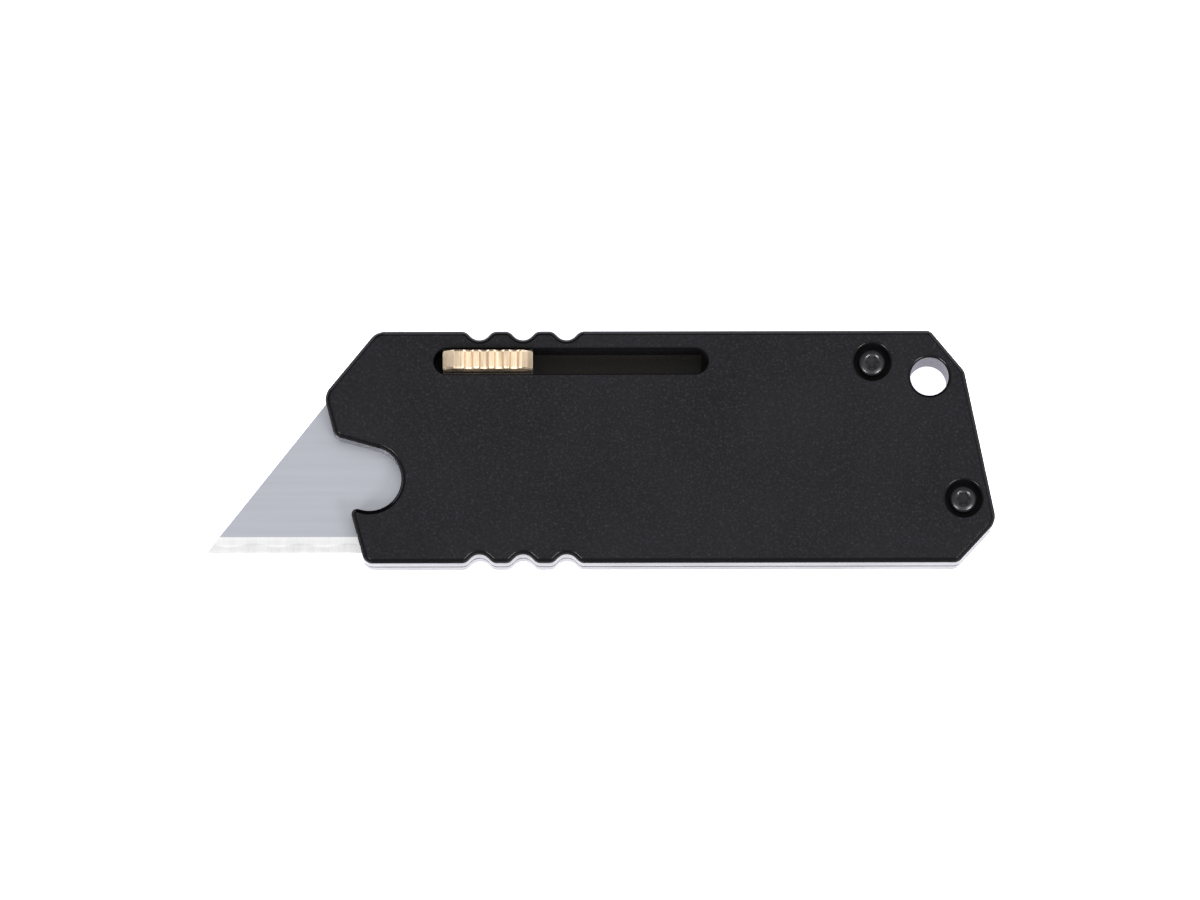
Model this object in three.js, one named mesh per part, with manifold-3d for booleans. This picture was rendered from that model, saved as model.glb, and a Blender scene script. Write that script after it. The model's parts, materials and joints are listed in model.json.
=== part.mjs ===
// Slide-out utility knife: two clamshell scales, a trapezoid blade on a sliding carrier with a grooved brass
// thumb slider, a ball detent, and the screws, inserts and dowels that hold it together.
// Millimetres, +Z up. The knife lies on its rear scale with the blade out, pointing along -X, and the
// cutting edge at -Y.
import * as THREE from "three";
import { mergeVertices } from "three/addons/utils/BufferGeometryUtils.js";
import Module from "manifold-3d";

// ---------- driving dimensions ----------

// Scales. Length and width are taken between the unrounded corners of the outline.
const BODY_LENGTH = 82.8;
const BODY_WIDTH = 28.8;
const BODY_THICKNESS = 8.4;
const EDGE_CHAMFER = 0.6;
const SEAM_GAP = 0.06;
const NOSE_CUT = { run: 6.5, drop: 7.9 };
const TAIL_TOP_CUT = { run: 4.2, drop: 5.05 };
const TAIL_BOTTOM_CUT = { run: 4.75, rise: 5.1 };
const TAIL_LEAN = THREE.MathUtils.degToRad(11.6);
const FRONT_LEAN = THREE.MathUtils.degToRad(15);
const FRONT_WALL = 1.5; // front scale over the channel
const REAR_WALL = 1.0; // rear scale under the channel

// Finger notch that doubles as a bottle opener, in the front edge.
const FINGER = { radius: 3.95, fromNose: 5.65, fromBottom: 10.5, dip: THREE.MathUtils.degToRad(15.5) };
const HOOK_PROUD = 0.5; // the hook's side of the front edge stands out this far

// Corner radii of the outline.
const CORNER = {
  hookFoot: 1.2,
  tailFoot: 1.0,
  tailLow: 1.9,
  tailHigh: 1.2,
  tailTop: 0.8,
  noseTop: 1.9,
  nose: 2.0,
  brow: 1.2,
  hookTip: 0.66,
};

// Grip notches, in both long edges.
const GRIP = { count: 3, pitch: 5.37, fromNose: 19.2, halfWidth: 1.7, bottom: 1.5, shoulder: 1.0 };

// Blade: a standard trapezoid utility blade.
const BLADE = {
  length: 61,
  width: 19,
  thickness: 0.6,
  slant: THREE.MathUtils.degToRad(51.5),
  bevel: 1.98,
  edge: 0.04,
};
const BLADE_NOTCH = { spacing: 11, width: 3.2, depth: 2.4, radius: 0.7 };
const BLADE_REACH = 14.55; // how far the tip stands out past the nose
const BLADE_COVER = 1.73; // body left below the cutting edge
const BLADE_CLEARANCE = 0.15; // around the blade in its bay

// Sliding mechanism.
const TRAVEL = 20.5;
const SLIDER = { length: 11.1, width: 2.32, proud: 2.0, ramp: 1.3, drop: 1.35, sideChamfer: 0.2 };
const SLIDER_CORNER = { shoulder: 0.3, brow: 0.35 };
// The grooves' flanks slope at 50 degrees; the whole row lies a little rearwards of the slider's middle.
const GROOVE = { count: 4, pitch: 1.87, halfWidth: 0.6, flank: 50, root: 0.57, lip: 0.25, rearwards: 0.46 };
const SLOT = { sideGap: 0.43, fromNose: 13.6, fromTop: 3.77, endGap: 1.1, rim: 0.17 };
const CHANNEL_WALL = 2.0; // from the channel to the top edge
const SLIDE_CLEARANCE = 0.15; // carrier bar to channel
const END_CLEARANCE = 0.3; // carrier bar to the channel's ends
const BAY_CORNER = 0.4; // radius in the corners of what is milled out of the scales
const CARRIER_CORNER = 0.3;
const BAR_ABOVE_BLADE = 0.7;
const TONGUE = { ahead: 2.6, drop: 11.4, thickness: 1.2, gap: 0.1 };
const TAB_CLEARANCE = 0.2; // carrier tab in the blade's notch
const ARM = { past: 2.1, drop: 3.4 };
const FOOT = { depth: 1.1, inset: 0.8 }; // slider foot in the carrier bar
const FIT = 0.05; // close fit of seated pieces

// Ball detent, and the strip with a hole for it at each end of the travel.
const BALL = { radius: 0.8, aboveBarEdge: 1.3, lift: 0.02 };
const STRIP = { width: 2.0, thickness: 0.33, sink: 0.35, past: 2.2, holeRadius: 0.55 };
const SPRING = { outer: 0.7, wire: 0.1, turns: 4, stepsEach: 10, room: 1.7 };

// Blade magnets in the carrier's tongue.
const MAGNET = { radius: 1.8, thickness: 0.8, spacing: 7, belowBar: 6.6 };

// Fasteners.
const BODY_SCREW = { head: 1.64, headHeight: 1.3, shank: 1.0, lobe: 0.74, recess: 0.75 };
const COUNTERBORE = { aroundHead: 0.64, depth: 2.1, rim: 0.14 };
const SCREW_HOLE_GAP = 0.12;
const INSERT = { wall: 0.62, threadGap: 0.08, length: 2.9, floor: 0.4, groove: 0.15 };
const DOWEL = { radius: 0.75, length: 3.6, tip: 0.2 };
const SLIDER_SCREW = { head: 1.35, headHeight: 0.8, shank: 0.8, bite: 1.7, lobe: 0.52, recess: 0.45 };
const LANYARD = { radius: 2.36, fromTail: 8.15, fromTop: 5.77, rim: 0.22 };
const SCREW_UPPER = { fromTail: 15.2, fromTop: 3.9 };
const SCREW_LOWER = { fromTail: 4.05, fromBottom: 7.93 };
const SCREW_NOSE = { fromNose: 7.0, fromTop: 4.0 };
const DOWEL_NOSE = { fromNose: 3.9, fromTop: 5.6 };
const DOWEL_TAIL = { fromTail: 11.4, fromBottom: 3.9 };

// Six-lobe recess of the screws, and the share of the head and the shank that is rounded off.
const DRIVER = { lobes: 6, swell: 0.13, pointsEach: 4 };
const CROWN_SHARE = 0.45;
const TIP_SHARE = 0.25;

// Facets: how far a chord may stand off its arc, and the sides of round pieces.
const CHORD_ERROR = 0.015;
const ROUND = 36;
const SMALL_ROUND = 18;
const TOUCHING = 1e-4; // points this near are one point
const BEYOND = 1; // how far a cutter runs past what it cuts

// ---------- reference lines worked out from them ----------

const noseX = -BODY_LENGTH / 2;
const tailX = BODY_LENGTH / 2;
const topY = BODY_WIDTH / 2;
const bottomY = -BODY_WIDTH / 2;
const seamZ = BODY_THICKNESS / 2;
const frontZ = BODY_THICKNESS;

const blade = {
  x: noseX - BLADE_REACH + BLADE.length / 2, // middle of the blade, out
  edgeY: bottomY + BLADE_COVER,
  backY: bottomY + BLADE_COVER + BLADE.width,
};
const bladeBackFaceZ = seamZ - BLADE.thickness / 2;
const bladeFrontFaceZ = seamZ + BLADE.thickness / 2;

const slotY = topY - SLOT.fromTop;
const slotRadius = SLIDER.width / 2 + SLOT.sideGap;
const slotX = noseX + SLOT.fromNose; // front end of the slot
const slotLength = SLIDER.length + TRAVEL + 2 * SLOT.endGap;
const sliderX = slotX + SLOT.endGap + SLIDER.length / 2; // middle of the slider, blade out

const bar = {
  front: sliderX - SLIDER.length / 2,
  rear: sliderX + SLIDER.length / 2,
  low: blade.backY + BAR_ABOVE_BLADE,
  high: topY - CHANNEL_WALL - SLIDE_CLEARANCE,
  back: REAR_WALL + SLIDE_CLEARANCE,
  top: frontZ - FRONT_WALL - SLIDE_CLEARANCE,
};
const tongue = {
  front: bar.front - TONGUE.ahead,
  low: bar.low - TONGUE.drop,
  back: bladeBackFaceZ - TONGUE.gap - TONGUE.thickness,
  top: bladeBackFaceZ - TONGUE.gap,
};
const armFrontX = blade.x - BLADE_NOTCH.spacing / 2 - ARM.past;
const armLowY = blade.backY - ARM.drop;

const stripBackZ = REAR_WALL - STRIP.sink;
const ball = {
  x: sliderX,
  y: bar.low + BALL.aboveBarEdge,
  z: stripBackZ + STRIP.thickness + BALL.lift + BALL.radius,
};
const springFootZ = ball.z + BALL.radius + FIT;
const tongueX = (tongue.front + bar.rear) / 2;
const magnetXs = [tongueX - MAGNET.spacing / 2, tongueX + MAGNET.spacing / 2];
const magnetY = bar.low - MAGNET.belowBar;
const sliderScrewXs = [sliderX - SLIDER.length / 4, sliderX + SLIDER.length / 4];

const footZ = bar.top - FOOT.depth;
const sliderScrewSeatZ = bar.back + SLIDER_SCREW.headHeight;
const sliderScrewDepth = footZ - sliderScrewSeatZ + SLIDER_SCREW.bite;

const counterboreRadius = BODY_SCREW.head + COUNTERBORE.aroundHead;
const screwHoleRadius = BODY_SCREW.shank + SCREW_HOLE_GAP;
const insertBoreRadius = BODY_SCREW.shank + INSERT.threadGap;
const insertRadius = insertBoreRadius + INSERT.wall;
const bodyScrewSeatZ = frontZ - COUNTERBORE.depth + FIT / 2;
const bodyScrewDepth = bodyScrewSeatZ - (seamZ - INSERT.length + INSERT.floor) - FIT;
const screwUpper = { x: tailX - SCREW_UPPER.fromTail, y: topY - SCREW_UPPER.fromTop };
const screwLower = { x: tailX - SCREW_LOWER.fromTail, y: bottomY + SCREW_LOWER.fromBottom };
const screwNose = { x: noseX + SCREW_NOSE.fromNose, y: topY - SCREW_NOSE.fromTop };
const dowelNose = { x: noseX + DOWEL_NOSE.fromNose, y: topY - DOWEL_NOSE.fromTop };
const dowelTail = { x: tailX - DOWEL_TAIL.fromTail, y: bottomY + DOWEL_TAIL.fromBottom };
const lanyard = { x: tailX - LANYARD.fromTail, y: topY - LANYARD.fromTop };

// ---------- solids ----------

const wasm = await Module();
wasm.setup();

/** A closed geometry as a solid that can be joined and cut. */
function solidFrom(geometry) {
  const bare = geometry.index ? geometry.toNonIndexed() : geometry.clone();
  bare.deleteAttribute("normal");
  bare.deleteAttribute("uv");
  const merged = mergeVertices(bare, 1e-4);
  const mesh = new wasm.Mesh({
    numProp: 3,
    vertProperties: merged.attributes.position.array,
    triVerts: new Uint32Array(merged.index.array),
  });
  return new wasm.Manifold(mesh);
}

/** The geometry of a solid. */
function geometryFrom(solid) {
  const mesh = solid.getMesh();
  const geometry = new THREE.BufferGeometry();
  geometry.setAttribute("position", new THREE.BufferAttribute(new Float32Array(mesh.vertProperties), 3));
  geometry.setIndex(new THREE.BufferAttribute(new Uint32Array(mesh.triVerts), 1));
  geometry.computeVertexNormals();
  return geometry;
}

const cut = (solid, ...tools) => tools.reduce((left, tool) => left.subtract(tool), solid);
const join = (solid, ...more) => more.reduce((all, next) => all.add(next), solid);

/** Points of a closed anticlockwise outline with corners {x, y, r}, moved inwards by an inset. */
function outline(corners, inset = 0) {
  const points = corners.flatMap((corner, i) => {
    const before = corners.at(i - 1);
    const after = corners[(i + 1) % corners.length];
    const into = new THREE.Vector2(corner.x - before.x, corner.y - before.y).normalize();
    const away = new THREE.Vector2(after.x - corner.x, after.y - corner.y).normalize();
    const turn = Math.atan2(into.cross(away), into.dot(away));
    const side = Math.sign(turn);
    const inward = away.clone().sub(into).normalize();
    const place = new THREE.Vector2(corner.x, corner.y);
    if (!corner.r) return [place.addScaledVector(inward, (side * inset) / Math.cos(turn / 2))];
    const centre = place.addScaledVector(inward, corner.r / Math.cos(turn / 2));
    const first = Math.atan2(-side * into.x, side * into.y);
    const radius = corner.r - side * inset;
    const step = 2 * Math.acos(1 - Math.min(CHORD_ERROR / corner.r, 0.1));
    const steps = Math.max(2, Math.ceil(Math.abs(turn) / step));
    return Array.from({ length: steps + 1 }, (_, k) => {
      const angle = first + (turn * k) / steps;
      return new THREE.Vector2(centre.x + radius * Math.cos(angle), centre.y + radius * Math.sin(angle));
    });
  });
  // Two arcs that run into each other share a point.
  return points.filter((point, i) => point.distanceTo(points.at(i - 1)) > TOUCHING);
}

/** The triangles that fill an outline, all anticlockwise. */
function fill(points) {
  return THREE.ShapeUtils.triangulateShape(points, []).map(([a, b, c]) => {
    const ab = points[b].clone().sub(points[a]);
    const ac = points[c].clone().sub(points[a]);
    return ab.cross(ac) > 0 ? [a, b, c] : [a, c, b];
  });
}

/** A closed solid through outlines of equal length, each {z, points}, from the lowest up. */
function loft(...levels) {
  const count = levels[0].points.length;
  const lid = (levels.length - 1) * count;
  const position = levels.flatMap(({ z, points }) => points.flatMap((p) => [p.x, p.y, z]));
  const index = [];
  for (let start = 0; start < lid; start += count) {
    for (let i = 0; i < count; i++) {
      const a = start + i;
      const b = start + ((i + 1) % count);
      index.push(a, b, b + count, a, b + count, a + count);
    }
  }
  fill(levels[0].points).forEach(([a, b, c]) => index.push(c, b, a));
  fill(levels.at(-1).points).forEach(([a, b, c]) => index.push(lid + a, lid + b, lid + c));
  const geometry = new THREE.BufferGeometry();
  geometry.setAttribute("position", new THREE.Float32BufferAttribute(position, 3));
  geometry.setIndex(index);
  return solidFrom(geometry);
}

const prism = (points, low, high) => loft({ z: low, points }, { z: high, points });

/** The four corners of a rectangle, anticlockwise, all with one radius. */
function rectangle(x0, y0, x1, y1, r = 0) {
  return [
    { x: x0, y: y0, r },
    { x: x1, y: y0, r },
    { x: x1, y: y1, r },
    { x: x0, y: y1, r },
  ];
}

const block = (x0, y0, z0, x1, y1, z1, r = 0) => prism(outline(rectangle(x0, y0, x1, y1, r)), z0, z1);

/** A solid turned about +Z from a profile of [radius, z] points that starts and ends on the axis. */
function turned(profile, segments = ROUND) {
  const points = profile.map(([radius, z]) => new THREE.Vector2(radius, z));
  return solidFrom(new THREE.LatheGeometry(points, segments).rotateX(Math.PI / 2));
}

/** A round cutter from low to high, flared by rim over its top end, which it runs past. */
function borer({ x, y }, radius, low, high, rim = 0, segments = ROUND) {
  const flare = radius + rim + BEYOND * (rim ? 1 : 0);
  const profile = [
    [0, low],
    [radius, low],
    [radius, high - rim],
    [flare, high + BEYOND],
    [0, high + BEYOND],
  ];
  return turned(profile, segments).translate([x, y, 0]);
}

/** The same cutter, working from below. */
function borerFromBelow(place, radius, low, high, rim = 0, segments = ROUND) {
  return borer({ x: 0, y: 0 }, radius, -high, -low, rim, segments)
    .rotate([180, 0, 0])
    .translate([place.x, place.y, 0]);
}

// ---------- outlines ----------

/** Corners of a grip notch, cut from an edge at y whose outward side is +1 or -1, in the order of +X. */
function gripNotch(x, y, outward) {
  const apex = GRIP.halfWidth; // the flanks slope at 45 degrees
  return [
    { x: x - GRIP.halfWidth, y, r: GRIP.shoulder },
    { x, y: y - outward * apex, r: GRIP.bottom },
    { x: x + GRIP.halfWidth, y, r: GRIP.shoulder },
  ];
}

/** Corners of the scales' outline, anticlockwise from the lower front corner. */
function bodyCorners() {
  const grips = Array.from({ length: GRIP.count }, (_, i) => noseX + GRIP.fromNose + i * GRIP.pitch);
  const noseY = topY - NOSE_CUT.drop;
  const frontAt = (y) => noseX + (noseY - y) * Math.tan(FRONT_LEAN);
  const hookAt = (y) => frontAt(y) - HOOK_PROUD / Math.cos(FRONT_LEAN);
  const tailLowY = bottomY + TAIL_BOTTOM_CUT.rise;
  const tailHighY = topY - TAIL_TOP_CUT.drop;
  const tailHighX = tailX - (tailHighY - tailLowY) * Math.tan(TAIL_LEAN);

  // The finger notch is a slot with parallel sides and a round end, dipping towards the tail.
  const eye = new THREE.Vector2(noseX + FINGER.fromNose, bottomY + FINGER.fromBottom);
  const along = new THREE.Vector2(Math.cos(FINGER.dip), -Math.sin(FINGER.dip));
  const up = new THREE.Vector2(Math.sin(FINGER.dip), Math.cos(FINGER.dip));
  const notch = (a, b) => eye.clone().addScaledVector(along, a).addScaledVector(up, b);
  const meets = (edgeAt, b) => {
    const start = notch(0, b);
    const t = (start.x - edgeAt(start.y)) / (along.x - along.y * -Math.tan(FRONT_LEAN));
    return notch(-t, b);
  };
  const lip = meets(hookAt, -FINGER.radius);
  const brow = meets(frontAt, FINGER.radius);
  const endLow = notch(FINGER.radius, -FINGER.radius);
  const endHigh = notch(FINGER.radius, FINGER.radius);

  return [
    { x: hookAt(bottomY), y: bottomY, r: CORNER.hookFoot },
    ...grips.flatMap((x) => gripNotch(x, bottomY, -1)),
    { x: tailX - TAIL_BOTTOM_CUT.run, y: bottomY, r: CORNER.tailFoot },
    { x: tailX, y: tailLowY, r: CORNER.tailLow },
    { x: tailHighX, y: tailHighY, r: CORNER.tailHigh },
    { x: tailHighX - TAIL_TOP_CUT.run, y: topY, r: CORNER.tailTop },
    ...grips.toReversed().flatMap((x) => gripNotch(x, topY, 1).toReversed()),
    { x: noseX + NOSE_CUT.run, y: topY, r: CORNER.noseTop },
    { x: noseX, y: noseY, r: CORNER.nose },
    { x: brow.x, y: brow.y, r: CORNER.brow },
    { x: endHigh.x, y: endHigh.y, r: FINGER.radius },
    { x: endLow.x, y: endLow.y, r: FINGER.radius },
    { x: lip.x, y: lip.y, r: CORNER.hookTip },
  ];
}

const body = bodyCorners();

/** The blade's outline about the middle of its cutting edge. */
function bladeCorners() {
  const half = BLADE.length / 2;
  const topHalf = half - BLADE.width / Math.tan(BLADE.slant);
  const notch = (x) => [
    { x: x + BLADE_NOTCH.width / 2, y: BLADE.width, r: 0 },
    { x: x + BLADE_NOTCH.width / 2, y: BLADE.width - BLADE_NOTCH.depth, r: BLADE_NOTCH.radius },
    { x: x - BLADE_NOTCH.width / 2, y: BLADE.width - BLADE_NOTCH.depth, r: BLADE_NOTCH.radius },
    { x: x - BLADE_NOTCH.width / 2, y: BLADE.width, r: 0 },
  ];
  return [
    { x: -half, y: 0, r: 0 },
    { x: half, y: 0, r: 0 },
    { x: topHalf, y: BLADE.width, r: 0 },
    ...notch(BLADE_NOTCH.spacing / 2),
    ...notch(-BLADE_NOTCH.spacing / 2),
    { x: -topHalf, y: BLADE.width, r: 0 },
  ];
}

/** The space that the blade sweeps in the scales, open at the front. */
function bladeBay(low, high) {
  const half = BLADE.length / 2;
  const lean = BLADE.width / Math.tan(BLADE.slant);
  const rear = blade.x + half + TRAVEL + END_CLEARANCE;
  const front = blade.x - half - BEYOND;
  const lowY = blade.edgeY - BLADE_CLEARANCE;
  const highY = blade.backY + BLADE_CLEARANCE;
  const corners = [
    { x: front, y: lowY, r: 0 },
    { x: rear + BLADE_CLEARANCE, y: lowY, r: BAY_CORNER },
    { x: rear - lean + BLADE_CLEARANCE, y: highY, r: BAY_CORNER },
    { x: front, y: highY, r: 0 },
  ];
  return prism(outline(corners), low, high);
}

// ---------- scales ----------

const slotCorners = () =>
  rectangle(slotX, slotY - slotRadius, slotX + slotLength, slotY + slotRadius, slotRadius);

/** The channel that the carrier bar runs in. */
function channel(low, high) {
  const front = bar.front - END_CLEARANCE;
  const rear = bar.rear + TRAVEL + END_CLEARANCE;
  return block(front, bar.low - SLIDE_CLEARANCE, low, rear, topY - CHANNEL_WALL, high, BAY_CORNER);
}

/** Room for the carrier's arm and tabs, which stand in the blade's notches. */
function armBay(low, high) {
  const front = armFrontX - END_CLEARANCE;
  const rear = bar.rear + TRAVEL + END_CLEARANCE;
  return block(front, armLowY - SLIDE_CLEARANCE, low, rear, bar.low + SLIDE_CLEARANCE, high, BAY_CORNER);
}

function frontScale() {
  const low = seamZ + SEAM_GAP / 2;
  const shell = loft(
    { z: low, points: outline(body) },
    { z: frontZ - EDGE_CHAMFER, points: outline(body) },
    { z: frontZ, points: outline(body, EDGE_CHAMFER) },
  );
  const under = low - BEYOND;
  const slot = loft(
    { z: seamZ, points: outline(slotCorners()) },
    { z: frontZ - SLOT.rim, points: outline(slotCorners()) },
    { z: frontZ + BEYOND, points: outline(slotCorners(), -SLOT.rim - BEYOND) },
  );
  const screws = [screwUpper, screwLower].flatMap((place) => [
    borer(place, counterboreRadius, frontZ - COUNTERBORE.depth, frontZ, COUNTERBORE.rim),
    borer(place, screwHoleRadius, under, frontZ, 0, SMALL_ROUND),
  ]);
  return cut(
    shell,
    bladeBay(under, bladeFrontFaceZ + BLADE_CLEARANCE),
    armBay(under, bladeFrontFaceZ + BLADE_CLEARANCE),
    channel(under, frontZ - FRONT_WALL),
    slot,
    ...screws,
    borer(lanyard, LANYARD.radius, under, frontZ, LANYARD.rim),
    borer(screwNose, insertRadius + FIT, under, seamZ + INSERT.length + FIT - BEYOND, 0, SMALL_ROUND),
    ...[dowelNose, dowelTail].map((place) =>
      borer(place, DOWEL.radius + FIT, under, seamZ + DOWEL.length / 2 + FIT - BEYOND, 0, SMALL_ROUND),
    ),
  );
}

function rearScale() {
  const high = seamZ - SEAM_GAP / 2;
  const shell = loft(
    { z: 0, points: outline(body, EDGE_CHAMFER) },
    { z: EDGE_CHAMFER, points: outline(body) },
    { z: high, points: outline(body) },
  );
  const over = high + BEYOND;
  const tongueBay = block(
    tongue.front - END_CLEARANCE,
    tongue.low - SLIDE_CLEARANCE,
    tongue.back - SLIDE_CLEARANCE,
    bar.rear + TRAVEL + END_CLEARANCE,
    bar.low,
    over,
    BAY_CORNER,
  );
  const stripBed = block(
    ball.x - STRIP.past - FIT,
    ball.y - STRIP.width / 2 - FIT,
    stripBackZ,
    ball.x + TRAVEL + STRIP.past + FIT,
    ball.y + STRIP.width / 2 + FIT,
    over,
  );
  return cut(
    shell,
    bladeBay(bladeBackFaceZ - BLADE_CLEARANCE, over),
    armBay(tongue.back - SLIDE_CLEARANCE, over),
    tongueBay,
    channel(REAR_WALL, over),
    stripBed,
    borerFromBelow(lanyard, LANYARD.radius, 0, over, LANYARD.rim),
    borerFromBelow(screwNose, counterboreRadius, 0, COUNTERBORE.depth, COUNTERBORE.rim),
    borer(screwNose, screwHoleRadius, COUNTERBORE.depth - BEYOND, over, 0, SMALL_ROUND),
    ...[screwUpper, screwLower].map((place) =>
      borer(place, insertRadius + FIT, seamZ - INSERT.length - FIT, over, 0, SMALL_ROUND),
    ),
    ...[dowelNose, dowelTail].map((place) =>
      borer(place, DOWEL.radius + FIT, seamZ - DOWEL.length / 2 - FIT, over, 0, SMALL_ROUND),
    ),
  );
}

// ---------- blade, carrier and slider ----------

/** The blade about the middle of its cutting edge, with its faces at plus and minus half its thickness. */
function bladeSolid() {
  const half = BLADE.thickness / 2;
  const plate = prism(outline(bladeCorners()), -half, half);
  const grind = (face) => {
    const section = new THREE.Shape([
      new THREE.Vector2(BLADE.bevel, face * half),
      new THREE.Vector2(0, (face * BLADE.edge) / 2),
      new THREE.Vector2(-BEYOND, (face * BLADE.edge) / 2),
      new THREE.Vector2(-BEYOND, face * (half + BEYOND)),
      new THREE.Vector2(BLADE.bevel, face * (half + BEYOND)),
    ]);
    const depth = BLADE.length + 2 * BEYOND;
    const wedge = new THREE.ExtrudeGeometry(section, { depth, bevelEnabled: false });
    const upright = new THREE.Matrix4().makeBasis(
      new THREE.Vector3(0, 1, 0),
      new THREE.Vector3(0, 0, 1),
      new THREE.Vector3(1, 0, 0),
    );
    return solidFrom(wedge.applyMatrix4(upright).translate(-BLADE.length / 2 - BEYOND, 0, 0));
  };
  return cut(plate, grind(1), grind(-1));
}

/** Bar in the channel, plate behind the blade, arm and tabs in the blade's notches. */
function carrier() {
  const { front, rear, low, high, back, top } = bar;
  const corner = CARRIER_CORNER;
  const barBlock = block(front, low, back, rear, high, top, corner);
  const plate = block(tongue.front, tongue.low, tongue.back, rear, low + FIT, tongue.top, corner);
  const arm = block(armFrontX, armLowY, tongue.back, front + BEYOND, low + FIT, tongue.top, corner);
  const tabs = [-1, 1].map((side) => {
    const x = blade.x + (side * BLADE_NOTCH.spacing) / 2;
    const half = BLADE_NOTCH.width / 2 - TAB_CLEARANCE;
    const foot = blade.backY - BLADE_NOTCH.depth + TAB_CLEARANCE;
    const radius = BLADE_NOTCH.radius - TAB_CLEARANCE / 2;
    return block(x - half, foot, tongue.back, x + half, low + FIT, bladeFrontFaceZ - FIT, radius);
  });
  const footSeat = block(
    front + FOOT.inset - FIT,
    slotY - SLIDER.width / 2 - FIT,
    footZ,
    rear - FOOT.inset + FIT,
    slotY + SLIDER.width / 2 + FIT,
    top + BEYOND,
  );
  const ballPocket = borerFromBelow(ball, BALL.radius + FIT, back, springFootZ + SPRING.room, 0, SMALL_ROUND);
  const screwHoles = sliderScrewXs.flatMap((x) => [
    borerFromBelow({ x, y: slotY }, SLIDER_SCREW.head + FIT, back, sliderScrewSeatZ + FIT, 0, SMALL_ROUND),
    borer({ x, y: slotY }, SLIDER_SCREW.shank + FIT, back, top, 0, SMALL_ROUND),
  ]);
  const magnetSeats = magnetXs.map((x) =>
    borer({ x, y: magnetY }, MAGNET.radius + FIT, tongue.top - MAGNET.thickness - FIT, tongue.top),
  );
  const whole = join(barBlock, plate, arm, ...tabs);
  return cut(whole, footSeat, ballPocket, ...screwHoles, ...magnetSeats);
}

/** Thumb slider about the middle of its foot: a ramped block with round-bottomed grooves across its top. */
function slider() {
  const half = SLIDER.length / 2;
  const height = frontZ + SLIDER.proud - footZ - FIT;
  const shoulderZ = height - SLIDER.drop;
  const apexZ = height - GROOVE.halfWidth * Math.tan(THREE.MathUtils.degToRad(GROOVE.flank));
  const middle = (GROOVE.count - 1) / 2;
  const grooves = Array.from(
    { length: GROOVE.count },
    (_, i) => GROOVE.rearwards + (middle - i) * GROOVE.pitch,
  );
  const footHalf = half - FOOT.inset;
  const corners = [
    { x: -footHalf, y: 0, r: 0 },
    { x: footHalf, y: 0, r: 0 },
    { x: footHalf, y: FOOT.depth, r: 0 },
    { x: half, y: FOOT.depth, r: 0 },
    { x: half, y: shoulderZ, r: SLIDER_CORNER.shoulder },
    { x: half - SLIDER.ramp, y: height, r: SLIDER_CORNER.brow },
    ...grooves.flatMap((x) => [
      { x: x + GROOVE.halfWidth, y: height, r: GROOVE.lip },
      { x, y: apexZ, r: GROOVE.root },
      { x: x - GROOVE.halfWidth, y: height, r: GROOVE.lip },
    ]),
    { x: -half + SLIDER.ramp, y: height, r: SLIDER_CORNER.brow },
    { x: -half, y: shoulderZ, r: SLIDER_CORNER.shoulder },
    { x: -half, y: FOOT.depth, r: 0 },
    { x: -footHalf, y: FOOT.depth, r: 0 },
  ];
  const side = SLIDER.width / 2;
  const lengthwise = loft(
    { z: -side, points: outline(corners, SLIDER.sideChamfer) },
    { z: -side + SLIDER.sideChamfer, points: outline(corners) },
    { z: side - SLIDER.sideChamfer, points: outline(corners) },
    { z: side, points: outline(corners, SLIDER.sideChamfer) },
  ).rotate([90, 0, 0]);
  const holes = sliderScrewXs.map((x) =>
    borerFromBelow({ x: x - sliderX, y: 0 }, SLIDER_SCREW.shank + FIT, 0, SLIDER_SCREW.bite, 0, SMALL_ROUND),
  );
  return cut(lengthwise, ...holes);
}

// ---------- small pieces ----------

/** A six-lobe driver recess, cut down from z = 0. */
function recess(radius, depth) {
  const { lobes: lobeCount, swell, pointsEach } = DRIVER;
  const count = lobeCount * pointsEach;
  const lobes = Array.from({ length: count }, (_, i) => {
    const angle = (i / count) * 2 * Math.PI;
    const reach = radius * (1 + swell * Math.cos(lobeCount * angle));
    return new THREE.Vector2(reach * Math.cos(angle), reach * Math.sin(angle));
  });
  return prism(lobes, -depth, BEYOND);
}

/** A button-head screw: its seat is at z = 0, its head above and its shank down to -depth. */
function screw({ head, headHeight, shank, lobe, recess: recessDepth }, depth) {
  const crown = headHeight * CROWN_SHARE;
  const steps = 3;
  const dome = Array.from({ length: steps + 1 }, (_, i) => {
    const angle = (i / steps) * (Math.PI / 2);
    return [head - crown * (1 - Math.cos(angle)), headHeight - crown + crown * Math.sin(angle)];
  });
  const tip = shank * TIP_SHARE;
  const profile = [[0, -depth], [shank - tip, -depth], [shank, -depth + tip], [shank, 0], [head, 0], ...dome];
  const blank = turned([...profile, [0, headHeight]], SMALL_ROUND);
  return cut(blank, recess(lobe, recessDepth).translate([0, 0, headHeight]));
}

/** A threaded insert, standing on z = 0, with a groove round its middle. */
function insert() {
  const { length, floor, groove } = INSERT;
  const waist = insertRadius - groove;
  const middle = length / 2;
  const profile = [
    [0, 0],
    [waist, 0],
    [insertRadius, groove],
    [insertRadius, middle - 2 * groove],
    [waist, middle - groove],
    [waist, middle + groove],
    [insertRadius, middle + 2 * groove],
    [insertRadius, length],
    [0, length],
  ];
  const bore = borer({ x: 0, y: 0 }, insertBoreRadius, floor, length, 0, SMALL_ROUND);
  return cut(turned(profile, SMALL_ROUND), bore);
}

/** A dowel pin with chamfered ends, about its middle. */
function dowel() {
  const { radius, length, tip } = DOWEL;
  const half = length / 2;
  const profile = [[0, -half], [radius - tip, -half], [radius, tip - half], [radius, half - tip]];
  return turned([...profile, [radius - tip, half], [0, half]], SMALL_ROUND);
}

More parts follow.
